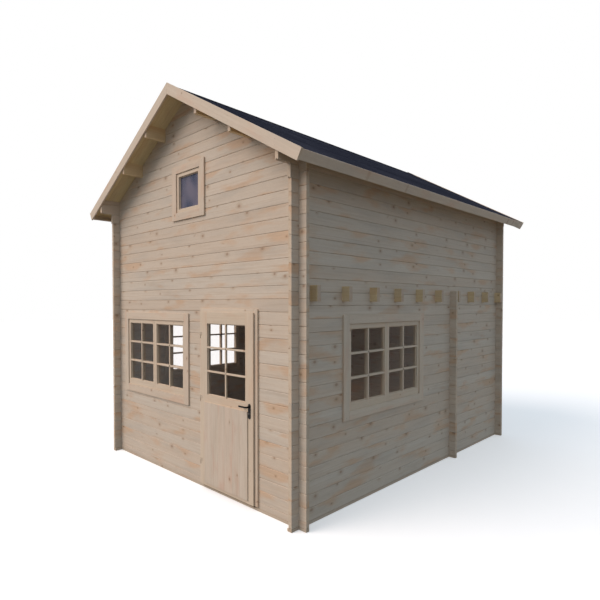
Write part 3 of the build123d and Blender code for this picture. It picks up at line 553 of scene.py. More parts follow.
def wood_finish(name, pale, warm, grey, knot, lines=0.16, streaks=0.22, patches=0.8,
                greying=0.5, knots=0.6, knot_size=1.0, spacing=0.0042, damp=0.0, sheen=0.62,
                sawn=(1.0, 0.95, 0.88)):
    """
    Sawn and planed softwood. The growth rings are cylinders about a pith that lies behind
    the face, warped along the length, so that faces show flat grain and ends show arcs.
    Soft streaks of warmer and greyer wood run along it, and knots sit one to a cell of the face.
    sawn tints the sawn ends.
    """
    pale, warm, grey, knot = (srgb(*colour) for colour in (pale, warm, grey, knot))
    f = Finish(name, Roughness=sheen, IOR=1.45)
    grain, tone, end = f.attribute("grain"), f.attribute("tone"), f.attribute("end", "Fac")
    across, through = f.parts(grain)[1:3]
    luck_b, luck_c = f.parts(tone)[1:3]

    cell = (0.62, 0.15, 0.9)
    spread = f.vector("DIVIDE", grain, cell)
    nearest = f.add("TexVoronoi", {"Vector": spread, "Scale": 1.0, "Randomness": 0.85})
    apart = f.vector("MULTIPLY", f.vector("SUBTRACT", nearest.outputs["Position"], spread), cell)
    dx, dy = f.parts(apart)[:2]
    reach = f.math("SQRT", f.plus(f.power(f.times(dx, 0.72), 2.0),
                                  f.power(dy, 2.0)))
    dice_a, dice_b = f.parts(nearest.outputs["Color"])[:2]
    here = f.math("LESS_THAN", dice_b, knots)
    size = f.times(f.times_add(dice_a, 0.0080 * knot_size, 0.0055 * knot_size), here)
    ratio = f.math("DIVIDE", reach, f.math("MAXIMUM", size, 0.0001))
    core = f.step(ratio, 0.45, 1.2, 1.0, 0.0)
    halo = f.step(ratio, 0.9, 3.0, 1.0, 0.0)

    sway = f.noise(grain, (0.9, 6.0, 6.0), 3.0)
    wave = f.times_add(sway, 0.030, f.times(halo, 0.006))
    pith_v = f.times_add(luck_b, 0.09, -0.045)
    pith_w = f.times_add(luck_c, 0.05, 0.018)
    ring_v = f.plus(f.plus(across, wave), pith_v)
    ring_w = f.plus(through, pith_w)
    radius = f.math("SQRT", f.plus(f.power(ring_v, 2.0), f.power(ring_w, 2.0)))
    turn = f.math("FRACT", f.math("DIVIDE", radius, spacing))
    late = f.power(turn, 2.2)
    fine = f.noise(grain, (9.0, 420.0, 420.0), 2.0, 0.6)
    broad = f.noise(grain, (1.6, 38.0, 38.0), 3.0, 0.55)

    cloud = f.noise(grain, (0.7, 3.0, 3.0), 2.0)
    blush = f.noise(f.vector("ADD", grain, (3.7, 0.0, 0.0)), (1.5, 5.0, 5.0), 3.0, 0.5)
    weather = f.noise(f.vector("ADD", grain, (9.1, 0.0, 0.0)), (0.9, 5.0, 5.0), 4.0, 0.6)
    mottle = f.noise(grain, (16.0, 60.0, 60.0), 3.0, 0.6)

    colour = f.mix(f.times(luck_b, 0.3 * patches), pale, warm)
    colour = f.mix(f.times(f.step(blush, 0.52, 0.66), patches), colour, warm)
    greyer = f.times(f.step(weather, 0.44, 0.74), greying)
    colour = f.mix(greyer, colour, grey)
    light = f.times_add(mottle, 0.12, f.times_add(luck_c, 0.05, 0.915))
    colour = f.mix(1.0, colour, f.join(light, light, light), "MULTIPLY")
    dark = f.mix(1.0, colour, (0.72, 0.60, 0.47, 1.0), "MULTIPLY")
    colour = f.mix(f.times(late, lines * 2.2), colour, dark)
    colour = f.mix(f.times(f.step(broad, 0.42, 0.80), streaks * 1.6), colour, dark)
    colour = f.mix(f.times(f.step(fine, 0.45, 0.85), streaks), colour, dark)
    colour = f.mix(f.times(halo, 0.45), colour, dark)
    rings = f.times_add(f.math("SINE", f.times(reach, 3200.0)), 0.12, 0.74)
    colour = f.mix(f.times(core, rings), colour, knot)
    colour = f.mix(end, colour, f.mix(1.0, colour, (*sawn, 1.0), "MULTIPLY"))
    if damp:
        height = f.parts(f.place())[2]
        low = f.step(f.plus(height, f.times(cloud, 0.12)), 0.10, 0.55, damp, 0.0)
        colour = f.mix(low, colour, f.mix(0.6, dark, grey))
    rough = f.times_add(fine, 0.22, sheen - 0.08)
    rough = f.times_add(core, -0.16, rough)
    relief = f.plus(f.times(late, -0.5), f.times(fine, -0.7))
    relief = f.plus(relief, f.times(core, 0.6))
    return f.done(colour, rough, relief, 0.0006, 0.45)


def felt_finish(name):
    """Bitumen felt with a fine mineral surface and paler dusty clouds."""
    f = Finish(name, IOR=1.5, Specular_IOR_Level=0.02)
    where = f.place()
    grit = f.add("TexVoronoi", {"Vector": where, "Scale": 620.0})
    cloud = f.noise(where, (1.1, 1.1, 1.1), 4.0)
    streak = f.noise(where, (9.0, 0.9, 9.0), 3.0)
    colour = f.mix(f.step(grit.outputs["Distance"], 0.1, 0.6), srgb(52, 53, 66), srgb(32, 33, 46))
    colour = f.mix(f.times(f.step(cloud, 0.4, 0.75), 0.6), colour, srgb(60, 60, 72))
    colour = f.mix(f.times(f.step(streak, 0.5, 0.8), 0.35), colour, srgb(36, 37, 50))
    height = f.times(grit.outputs["Distance"], -1.0)
    return f.done(colour, f.times_add(cloud, 0.12, 0.80), height, 0.0007, 0.5)


def steel_finish(name, colour, worn, rough=0.42):
    """Coated steel: fine orange-peel, and the coat worn paler in patches."""
    f = Finish(name, Metallic=0.1, IOR=1.5, Specular_IOR_Level=0.15)
    where = f.place()
    peel = f.noise(where, (900.0, 900.0, 900.0), 2.0)
    wear = f.noise(where, (55.0, 55.0, 55.0), 5.0, 0.65)
    share = f.times(f.step(wear, 0.60, 0.72), 0.35)
    tinted = f.mix(share, colour, worn)
    return f.done(tinted, f.times_add(wear, 0.25, rough - 0.12), peel, 0.0001, 0.3)


def glass_finish(name, tint, body, dust_and_painted_sky_second_tone, clouded_dust_and_painted_sky, even_dust_and_painted_sky, edge, least):
    """
    Clear pane: see-through, with a diffuse layer in clouds of two tones, and a mirror share
    that grows with the fifth power of the slant of the view. On the window panes the layer is
    a thin dusty coat; on the gable pane it is mostly painted reflection of the sky in
    blue-grey, and dusty in part.
    """
    f = Finish(name)
    where = f.place()
    cloud = f.step(f.noise(where, (3.6, 3.6, 2.4), 1.5, 0.4), 0.30, 0.70)
    clear = f.add("BsdfTransparent", {"Color": tint})
    shine = f.add("BsdfGlossy", {"Color": (0.97, 0.95, 0.92, 1.0), "Roughness": 0.02})
    # Diffuse layer: a dusty coat, and on the gable pane mostly painted reflection of the sky.
    dust_and_painted_sky = f.add("BsdfDiffuse", {"Color": f.mix(cloud, body, dust_and_painted_sky_second_tone)})
    seen = f.add("MixShader", {0: f.times_add(cloud, clouded_dust_and_painted_sky, even_dust_and_painted_sky), 1: clear.outputs[0],
                               2: dust_and_painted_sky.outputs[0]})
    slant = f.power(f.add("LayerWeight", {"Blend": 0.5}).outputs["Facing"], 5.0)
    share = f.times_add(slant, edge, least)
    both = f.add("MixShader", {0: share, 1: seen.outputs[0], 2: shine.outputs[0]})
    output = f.tree.nodes["Material Output"]
    f.tree.links.new(both.outputs[0], output.inputs["Surface"])
    f.tree.nodes.remove(f.shader)
    return f.material


log_wood = wood_finish(
    "dressed_spruce_logs", (214, 202, 186), (212, 180, 149), (180, 173, 163),
    (156, 126, 104), lines=0.14, streaks=0.18, patches=0.8, greying=0.4, knots=0.6,
    knot_size=1.55, damp=0.08)
trim_wood = wood_finish(
    "planed_trim_boards", (217, 201, 181), (217, 184, 158), (188, 179, 167),
    (146, 108, 82), lines=0.10, streaks=0.14, patches=0.55, greying=0.3, knots=0.30, knot_size=1.0)
joinery_wood = wood_finish(
    "planed_joinery", (218, 201, 179), (218, 188, 160), (192, 180, 164),
    (146, 110, 84), lines=0.10, streaks=0.14, patches=0.45, greying=0.25, knots=0.14, knot_size=0.8)
rough_wood = wood_finish(
    "golden_joists_and_purlins", (226, 204, 163), (216, 184, 140), (196, 188, 174),
    (110, 76, 52), lines=0.18, streaks=0.20, patches=0.5, greying=0.3, knots=0.4, sheen=0.7,
    sawn=(0.80, 0.80, 1.0))
roof_wood = wood_finish(
    "roof_boards", (228, 212, 168), (212, 186, 140), (186, 174, 150),
    (100, 70, 50), lines=0.18, streaks=0.20, patches=0.6, greying=0.3, knots=0.4, sheen=0.7)
floor_wood = wood_finish(
    "floor_boards", (196, 168, 132), (186, 150, 114), (160, 146, 126),
    (100, 64, 42), lines=0.18, streaks=0.24, knots=0.5)
sole_wood = wood_finish(
    "sole_timber", (208, 192, 172), (206, 176, 152), (180, 172, 160),
    (130, 96, 72), lines=0.14, streaks=0.2, patches=0.5, greying=0.4, knots=0.3, damp=0.1, sheen=0.7)
sill_wood = wood_finish(
    "trodden_threshold", (180, 156, 128), (168, 142, 114), (142, 130, 114),
    (90, 60, 42), lines=0.20, streaks=0.30, patches=0.4, knots=0.2, damp=0.2)
panel_wood = wood_finish(
    "door_panel_boards", (216, 202, 185), (211, 181, 161), (184, 176, 160),
    (146, 114, 92), lines=0.14, streaks=0.22, patches=0.7, greying=0.35, knots=0.35, knot_size=1.4)
felt = felt_finish("mineral_roofing_felt")
black_steel = steel_finish("black_coated_steel", srgb(17, 15, 14), srgb(34, 31, 29))
hinge_steel = steel_finish("pale_coated_hinge_steel", srgb(206, 188, 166), srgb(160, 148, 134))
nail_steel = steel_finish("galvanised_nail_steel", srgb(128, 124, 116), srgb(92, 76, 62))
clout_steel = steel_finish("dark_clout_nail_steel", srgb(70, 70, 76), srgb(110, 104, 98))
pane_glass = glass_finish("window_panes", (0.97, 0.96, 0.95, 1.0), srgb(150, 150, 150),
                          srgb(176, 176, 176), 0.003, 0.001, 0.5, 0.002)
# The gable pane's blue-grey diffuse colours are painted reflection of the sky, with some dusty clouds.
gable_pane_painted_sky = glass_finish("gable_pane_painted_sky", (0.70, 0.72, 0.76, 1.0), srgb(76, 90, 124), srgb(148, 142, 160),
                          0.15, 0.42, 0.5, 0.04)


# Walls

def course_lines(first, top):
    """Heights of the joints between courses, the last log taking what is left."""
    lines = [SOLE_H, *np.arange(first, top - LEAST_TOP_LOG, LOG_H), top]
    return list(zip(lines[:-1], lines[1:]))


SIDE_TOP = roof_z(INNER_X, ROOF_UNDER) - HAIR
END_TOP = roof_z(0.0, ROOF_UNDER)
side_courses = course_lines(SOLE_H + LOG_H, SIDE_TOP)
end_courses = course_lines(SOLE_H + LOG_H / 2, END_TOP)
partition_courses = end_courses[:18]


def wall_hole(width, height, bottom, centre):
    """Opening for a window as (low, high, z low, z high)."""
    rim = FRAME_T + SASH_GAP + FRAME_PLAY
    return centre - width / 2 - rim, centre + width / 2 + rim, bottom - rim, bottom + height + rim


def log_bars(courses, middle, along, reaches, openings, start=(-FAR, 0.0), stop=(FAR, 0.0),
             top=(FAR, 0.0)):
    """
    Logs of one wall, each with how far it reaches from the wall's middle. A log that an
    opening cuts through in part of its height goes on over it as a lower bar with the same
    grain.
    """
    bars = []
    for (low, high), reach in zip(courses, reaches):
        luck = dice.random(3)
        centre = np.array([0.0, (low + high) / 2, middle if along else -middle])
        last = high == courses[-1][1]

        def piece(a, b, z0, z1, ends, profile):
            """A length of this log from a to b and from z0 to z1, less half the open joint."""
            p, q = [0.0, 0.0, z0 + LOG_GAP / 2], [0.0, 0.0, z1 - LOG_GAP / 2]
            p[along], q[along] = a, b
            p[1 - along], q[1 - along] = middle - LOG_T / 2, middle + LOG_T / 2
            bars.append(bar(p, q, along, LOG_CHAMFER, ends, None, profile, start, stop, top, centre, luck))

        at, end = -reach, LOG_END_BEVEL
        for a, b, z0, z1 in sorted(openings):
            if z1 <= low or z0 >= high:
                continue
            piece(at, a, low, high, (end, SEAM), EASED if last else LOG)
            if z0 > low:
                piece(a, b, low, z0, (SEAM, SEAM), EASED)
            if z1 < high:
                piece(a, b, z1, high, (SEAM, SEAM), EASED)
            at, end = b, SEAM
        piece(at, reach, low, high, (end, LOG_END_BEVEL), EASED if last else LOG)
    return bars


def build_walls():
    """
    Four walls and the partition, their logs passing each other half a course apart. In the
    side walls the plate logs carry the verge, and the log below them steps out a little.
    """
    door = (*DOOR_HOLE, SOLE_H, DOOR_OPENING_TOP)
    front = wall_hole(WINDOW_W, WINDOW_H, WINDOW_Z, FRONT_WINDOW_X)
    gable = wall_hole(GABLE_WINDOW_W, GABLE_WINDOW_H, GABLE_WINDOW_Z, 0.0)
    side = wall_hole(WINDOW_W, WINDOW_H, WINDOW_Z, SIDE_WINDOW_Y)
    under = roof_z(0.0, ROOF_UNDER) - HAIR
    start, stop = (-under / RISE, 1 / RISE), (under / RISE, -1 / RISE)
    end_y = HOUSE_L / 2 - LOG_T / 2
    side_x = RIGHT_X - LOG_T / 2
    end_reach = [RIGHT_X + LOG_END] * len(end_courses)
    side_reach = [HOUSE_L / 2 + LOG_END] * len(side_courses)
    side_reach[-PLATE_LOGS - 1] += CORBEL_OUT
    side_reach[-PLATE_LOGS:] = [BARGE_BACK_Y - HAIR] * PLATE_LOGS
    for word, y, openings in (("front", -end_y, [door, front, gable]), ("back", end_y, [])):
        logs = log_bars(end_courses, y, 0, end_reach, openings, start, stop)
        timber(word + "_wall_logs", logs, log_wood, [word + "_wall"])
    passage = (*PARTITION_DOOR, SOLE_H, DOOR_OPENING_TOP)
    logs = log_bars(partition_courses, PARTITION_Y, 0, end_reach, [passage])
    timber("partition_logs", logs, log_wood, ["partition_wall"])
    for word, way in (("right", 1), ("left", -1)):
        top = (under, -way * RISE)
        logs = log_bars(side_courses, way * side_x, 1, side_reach, [side], top=top)
        timber(word + "_wall_logs", logs, log_wood, [word + "_wall"])


# Roof

def slope_axes(way):
    """
    Axes of one slope: length down it (cos, 0, -sin), width square up from it (sin, 0, cos),
    and thickness level along the ridge, their cross product.
    """
    u = np.array([way * math.cos(SLOPE), 0.0, -math.sin(SLOPE)])
    v = np.array([way * math.sin(SLOPE), 0.0, math.cos(SLOPE)])
    return np.array([u, v, np.cross(u, v)])


def slope_bar(way, along, depth, y, **more):
    """Bar down one slope: along from the apex, depth square below the bargeboards' top."""
    axes = slope_axes(way)
    apex = axes @ np.array([0.0, 0.0, RIDGE_Z])
    w = sorted(axes[2, 1] * value for value in y)
    low = (apex[0] + along[0], apex[1] - depth[1], w[0])
    high = (apex[0] + along[1], apex[1] - depth[0], w[1])
    # The upper end lies in the plane of the ridge: u cos = -v sin.
    return bar(low, high, axes=axes, start=(HAIR / 2, -RISE), **more)


def build_purlins():
    """Purlins and ridge beam, their tops cut to the slope."""
    purlins, ridge = [], []
    reach = BARGE_BACK_Y - HAIR
    under = roof_z(0.0, ROOF_UNDER) - HAIR
    for x in (-PURLIN_OUTER_X, -PURLIN_INNER_X, 0.0, PURLIN_INNER_X, PURLIN_OUTER_X):
        inner = max(abs(x) - PURLIN_W / 2, 0.0)
        head = roof_z(inner if x else PURLIN_W / 2, ROOF_UNDER)
        foot = roof_z(inner, ROOF_UNDER) - (PURLIN_H if x else RIDGE_BEAM_H)
        low = (x - PURLIN_W / 2, -reach, foot)
        high = (x + PURLIN_W / 2, reach, head)
        top = (under, -math.copysign(RISE, x)) if x else (FAR, 0.0)
        (purlins if x else ridge).append(bar(low, high, 1, top=top))
    timber("roof_purlins", purlins, rough_wood, ["purlins"])
    timber("ridge_beam", ridge, rough_wood, ["ridge_purlin"])


def build_roof_boards():
    """Boards down both slopes, side by side along the ridge."""
    count = round(2 * BARGE_BACK_Y / DECK_BOARD_W)
    edges = np.linspace(-BARGE_BACK_Y, BARGE_BACK_Y, count + 1)
    for word, way in (("left", -1), ("right", 1)):
        boards = []
        for a, b in zip(edges[:-1], edges[1:]):
            boards.append(slope_bar(way, (0, ROOF_RUN - BARGE_T - HAIR), (BARGE_UP, ROOF_UNDER), (a, b),
                                    ease=DECK_EASE, ends=(SEAM, SEAM)))
        timber("roof_boards_" + word, boards, roof_wood, ["roof_deck_" + word])


def build_roof_trim():
    """Eave boards along the feet of the slopes and bargeboards down the gables."""
    eaves = []
    for way in (-1, 1):
        eaves.append(slope_bar(way, (ROOF_RUN - BARGE_T, ROOF_RUN), (EAVE_BOARD_DOWN, FASCIA_W),
                               (-BARGE_BACK_Y, BARGE_BACK_Y)))
    # An eave board's length runs along the house, so its axes take turns.
    for board in eaves:
        u, v, w = board["axes"]
        board["axes"] = np.array([w, u, v])
        for key in ("low", "high", "middle"):
            board[key] = np.roll(board[key], 1)
        board["start"] = (-FAR, 0.0)
    timber("eave_board_pair", eaves, trim_wood, ["eave_boards"])
    for word, end in (("front", -1), ("back", 1)):
        pair = []
        y = sorted((end * BARGE_BACK_Y, end * (BARGE_FRONT_Y - NAIL_PROUD)))
        for way in (-1, 1):
            pair.append(slope_bar(way, (0, ROOF_RUN), (0, BARGE_W), y, ease=BARGE_EASE))
        timber(word + "_bargeboard_pair", pair, trim_wood, [word + "_bargeboards"])


def smooth(x):
    """Smooth step: x squared times (3 - 2 x), with x kept between 0 and 1."""
    x = np.clip(x, 0.0, 1.0)
    return x * x * (3 - 2 * x)


def tube(points):
    """Closed rings of points (ring, place round, xyz) as one block with flat ends."""
    n, m = points.shape[:2]
    grid = np.arange(n * m).reshape(n, m)
    right = np.roll(grid, -1, 1)
    quads = np.stack([grid[:-1], right[:-1], right[1:], grid[1:]], -1).reshape(-1, 4)
    return {"points": points.reshape(-1, 3), "faces": [quads, grid[:1, ::-1], grid[-1:]]}


def upturn(y):
    """How far the roofing is turned up at y along the ridge: a smooth step near the bargeboards."""
    return FELT_UPTURN * smooth((np.abs(y) - BARGE_BACK_Y + FELT_TURN_FROM) / FELT_TURN_W)


def along_ridge(count):
    """Places along the ridge as a column: count of them evenly, and closer ones at the verges."""
    end = BARGE_BACK_Y - HAIR
    side = np.linspace(end - FELT_SIDE, end, 7)
    even = np.linspace(-end + FELT_PLAIN_IN, end - FELT_PLAIN_IN, count)
    return np.concatenate([-side[::-1], even, side])[:, None]


def felt_slope(way):
    """
    Three strips of felt that lap down one slope. The section is a line of (s, d), s down
    the slope and d below the bargeboards' top; it is carried along the ridge, rippled by a
    sum of sines of the place along the ridge and down the slope, and turned up at the verges.
    """
    run = ROOF_RUN - BARGE_T - HAIR
    lap_a, lap_b, sheet = run / 3, run * 2 / 3, FELT_SHEET
    section = np.array([
        (-0.0020 * RISE, -0.0020), (0.3, -0.0026), (lap_a * 0.6, -0.0031), (lap_a, -FELT_T + 0.0002),
        (lap_a + 0.001, -sheet), (lap_a * 1.5, -0.0031), (lap_b, -FELT_T + 0.0002),
        (lap_b + 0.001, -sheet), (lap_b * 1.25, -0.0030), (run - 0.012, -0.0034),
        (run - 0.004, -0.0048), (run, -0.0090), (run, -0.0070), (run - 0.002, -0.0016),
        (run - 0.012, -0.0002), (lap_b, -0.0002), (lap_a, -0.0002), (0.0, -0.0002),
    ])
    y = along_ridge(60)
    s, d = section[:, 0][None, :], section[:, 1][None, :]
    ripple = 0.0004 * np.sin(5.1 * y + 3.0 * s) + 0.0003 * np.sin(12.7 * y - 4.0 * s + way)
    open_side = (d < -0.001) & (s < run - 0.02) & (s > 0.05)
    d = BARGE_UP + d + open_side * ripple - upturn(y)
    s = np.maximum(s + 0 * y, d * RISE)
    x = way * (s * math.cos(SLOPE) - d * math.sin(SLOPE))
    z = RIDGE_Z - s * math.sin(SLOPE) - d * math.cos(SLOPE)
    rings = np.stack([x, y + 0 * s, z], -1)
    return tube(rings if way > 0 else rings[:, ::-1])


def felt_cap():
    """Strip over the ridge: z falls from the apex by the slope times sqrt(x2 + r2) - r."""
    out = RIDGE_CAP_W * math.cos(SLOPE)
    r = RIDGE_BEND_R
    x = np.linspace(-out, out, 25)
    fall = RISE * (np.sqrt(x ** 2 + r ** 2) - r)
    high = RIDGE_Z - (BARGE_UP - 2 * FELT_T + 0.0003) / math.cos(SLOPE) - RISE * r * 0.6 - fall
    thick = np.where(np.abs(x) > out - 0.001, 0.0016, 0.0026)
    top = np.stack([x, high], 1)
    under = np.stack([x, high - thick / math.cos(SLOPE)], 1)
    section = np.concatenate([under, top[::-1]])
    y = along_ridge(44)
    wave = 0.0003 * np.sin(7.0 * y) * (np.abs(section[:, 0]) > 0.02) + upturn(y)
    rings = np.stack([section[:, 0] + 0 * y, y + 0 * section[:, 0], section[:, 1] + wave], -1)
    return tube(rings[:, ::-1])


def studs(places, out, radius, proud):
    """
    Round nail or screw heads on flat ground. Point i of a ring lies at place + r (side cos a
    + up sin a) + out h, with (r, h) (1, 0) and (0.78, 0.8) of radius and height, and a last
    point at (0, 1).
    """
    places = np.array(places, float).reshape(-1, 3)
    out = np.array(out, float)
    side = np.cross(out, (0.31, 0.52, 0.79))
    side /= np.linalg.norm(side)
    up = np.cross(out, side)
    a = np.linspace(0, 2 * np.pi, 10, endpoint=False)
    rim = np.cos(a)[:, None] * side + np.sin(a)[:, None] * up
    rings = [rim * radius, rim * 0.78 * radius + out * 0.8 * proud]
    shape = np.concatenate([*rings, [out * proud]])
    n, m = len(places), len(a)
    points = places[:, None, :] + shape[None, :, :]
    base = np.arange(n)[:, None] * len(shape)
    i, j = np.arange(m), (np.arange(m) + 1) % m
    quads = np.stack([i, j, j + m, i + m], 1)[None] + base[:, :, None]
    fans = np.stack([i + m, j + m, np.full(m, 2 * m)], 1)[None] + base[:, :, None]
    foot = i[::-1][None, :] + base
    return {"points": points.reshape(-1, 3),
            "faces": [quads.reshape(-1, 4), fans.reshape(-1, 3), foot]}


def heads(name, spots, out, radius, proud, finish, body="house", place=None):
    """Nail or screw heads as one piece, which stands for no solid."""
    solid(name, [studs(spots, out, radius, proud)], finish, body=body, place=place)


def build_felt():
    """Roofing on both slopes, the strip over the ridge, and its clout nails."""
    for word, way in (("left", -1), ("right", 1)):
        solid("felt_strips_" + word, [felt_slope(way)], felt, ["roofing_" + word])
        axes = slope_axes(way)
        rows = []
        run = ROOF_RUN - BARGE_T
        for s in (run / 3 - CLOUT_UP, run * 2 / 3 - CLOUT_UP, run - EAVE_CLOUT_UP,
                  RIDGE_CAP_W - CAP_CLOUT_IN):
            # The heads are pressed a little into the felt, or into the strip over the ridge.
            level = FELT_T - 0.0008 if s > RIDGE_CAP_W else 2 * FELT_T - 0.0010
            for y in np.arange(-BARGE_BACK_Y + CLOUT_IN, BARGE_BACK_Y - CLOUT_IN, CLOUT_PITCH):
                rows.append(np.array([0, y, RIDGE_Z]) + axes[0] * s + axes[1] * (level - BARGE_UP))
        heads("clout_nails_" + word, rows, axes[1], CLOUT_R, CLOUT_PROUD, clout_steel)
    solid("ridge_strip", [felt_cap()], felt, ["ridge_cap"])


# Base and floors

def board_rows(low, high):
    """Floor boards along Y that fill one rectangle, a whole number of them side by side."""
    count = max(1, round((high[0] - low[0]) / FLOORBOARD_W))
    edges = np.linspace(low[0], high[0], count + 1)
    return [bar((a, low[1], low[2]), (b, high[1], high[2]), 1, FLOOR_EASE)
            for a, b in zip(edges[:-1], edges[1:])]


def build_soles():
    """
    Sole beams: one under each side wall from log end to log end, one under each end wall and
    the partition between them, and stubs under the log ends outside.
    """
    side_y = HOUSE_L / 2 + LOG_END
    soles = []
    for way in (-1, 1):
        x = sorted((way * RIGHT_X, way * (RIGHT_X - SOLE_W)))
        soles.append(bar((x[0], -side_y, 0.0), (x[1], side_y, SOLE_H), 1, SOLE_EASE))
    inner = RIGHT_X - SOLE_W - HAIR
    spans = [(-HOUSE_L / 2, -HOUSE_L / 2 + SOLE_W, -HOUSE_L / 2 + LOG_T),
             (HOUSE_L / 2 - SOLE_W, HOUSE_L / 2, None),
             (PARTITION_FRONT, PARTITION_BACK, PARTITION_BACK)]
    for a, b, stub in spans:
        soles.append(bar((-inner, a, 0.0), (inner, b, SOLE_H), 0, SOLE_EASE))
        c, d = (a, stub) if stub else (b - LOG_T, b)
        for way in (-1, 1):
            x = sorted((way * (RIGHT_X + HAIR), way * (RIGHT_X + LOG_END)))
            soles.append(bar((x[0], c, 0.0), (x[1], d, SOLE_H), 0, SOLE_EASE))
    timber("sole_timbers", soles, sole_wood, ["sole_beams"])


def build_ground_floor():
    """Joists across the house and boards along it, in front of and behind the partition."""
    edge = SOLE_W + HAIR
    reach = RIGHT_X - edge
    joists, floors = [], []
    front = (-HOUSE_L / 2 + edge, PARTITION_FRONT - HAIR)
    rear = (PARTITION_BACK + HAIR, HOUSE_L / 2 - edge)
    for a, b in (front, rear):
        for y in np.arange(a, b - FLOOR_JOIST_W, FLOOR_JOIST_PITCH):
            joists.append(bar((-reach, y, 0.0), (reach, y + FLOOR_JOIST_W, FLOOR_JOIST_H)))
    timber("ground_floor_joists", joists, rough_wood, ["floor_joists"])
    for a, b in ((-FLOOR_Y, PARTITION_FRONT - FLOOR_EDGE), (PARTITION_BACK + FLOOR_EDGE, FLOOR_Y)):
        floors += board_rows((-FLOOR_X, a, FLOOR_JOIST_H + HAIR), (FLOOR_X, b, FLOOR_TOP))
    timber("ground_floor_boards", floors, floor_wood, ["ground_floor"])


def build_loft():
    """Loft joists whose ends show outside, and the boards round the hatch."""
    beams = []
    for i in range(JOIST_COUNT):
        y = JOIST_FIRST_Y + i * JOIST_PITCH
        low = (-RIGHT_X - LOG_END, y - JOIST_W / 2, JOIST_TOP_Z - JOIST_H)
        high = (RIGHT_X + LOG_END, y + JOIST_W / 2, JOIST_TOP_Z)
        beams.append(bar(low, high, 0, JOIST_EASE, (JOIST_EASE, JOIST_EASE)))
    timber("loft_floor_joists", beams, rough_wood, ["loft_joists"])
    z = (JOIST_TOP_Z + HAIR, JOIST_TOP_Z + FLOORBOARD_T)
    hatch_a = JOIST_FIRST_Y + HATCH_AFTER_JOIST * JOIST_PITCH + JOIST_W / 2
    hatch_b = hatch_a + JOIST_PITCH - JOIST_W
    loft = []
    for x, y in (((-FLOOR_X, FLOOR_X), (-FLOOR_Y, hatch_a)), ((-FLOOR_X, FLOOR_X), (hatch_b, FLOOR_Y)),
                 ((-FLOOR_X, HATCH_X[0]), (hatch_a + HAIR, hatch_b - HAIR)),
                 ((HATCH_X[1], FLOOR_X), (hatch_a + HAIR, hatch_b - HAIR))):
        loft += board_rows((x[0], y[0], z[0]), (x[1], y[1], z[1]))
    timber("loft_floor_boards", loft, floor_wood, ["loft_floor"])


# Windows, made with the wall's outer face at y = 0 and the outside towards -Y

def boards_round(outer, inner, y, ease, with_foot=True):
    """Four boards round an opening: the uprights run through, the level ones lie between."""
    a, b = inner[0] + HAIR, inner[1] - HAIR
    made = [
        bar((outer[0], y[0], outer[2]), (inner[0], y[1], outer[3]), 2, ease),
        bar((inner[1], y[0], outer[2]), (outer[1], y[1], outer[3]), 2, ease),
        bar((a, y[0], inner[3]), (b, y[1], outer[3]), 0, ease, (SEAM, SEAM)),
    ]
    if with_foot:
        made.append(bar((a, y[0], outer[2]), (b, y[1], inner[2]), 0, ease, (SEAM, SEAM)))
    return made


def sash_bars(x, z, columns, rows):
    """Stiles, rails, glazing bars on both faces and the beads that hold the panes."""
    y = (-SASH_OUT, SASH_D - SASH_OUT)
    foot, head = (SASH_BOTTOM, SASH_TOP) if columns > 1 else (SASH_STILE, SASH_STILE)
    inner = (x[0] + SASH_STILE, x[1] - SASH_STILE, z[0] + foot, z[1] - head)
    made = boards_round((x[0], x[1], z[0], z[1]), inner, y, SASH_EASE)
    middle = (y[0] + y[1]) / 2
    faces = ((y[0] + BAR_INSET, middle - PANE_T / 2 - HAIR),
             (middle + PANE_T / 2 + HAIR, y[1] - BAR_INSET))
    half = BAR_W / 2
    for face in faces:
        for i in range(1, columns):
            at = inner[0] + (inner[1] - inner[0]) * i / columns
            made.append(bar((at - half, face[0], inner[2]), (at + half, face[1], inner[3]), 2,
                            GLAZING_EASE))
        for j in range(1, rows):
            at = inner[2] + (inner[3] - inner[2]) * j / rows
            made.append(bar((inner[0], face[0], at - half), (inner[1], face[1], at + half), 0,
                            GLAZING_EASE))
    bead_y = (faces[0][1] - BEAD, faces[0][1])
    within = (inner[0] + BEAD, inner[1] - BEAD, inner[2] + BEAD, inner[3] - BEAD)
    return made + boards_round(inner, within, bead_y, GLAZING_EASE)


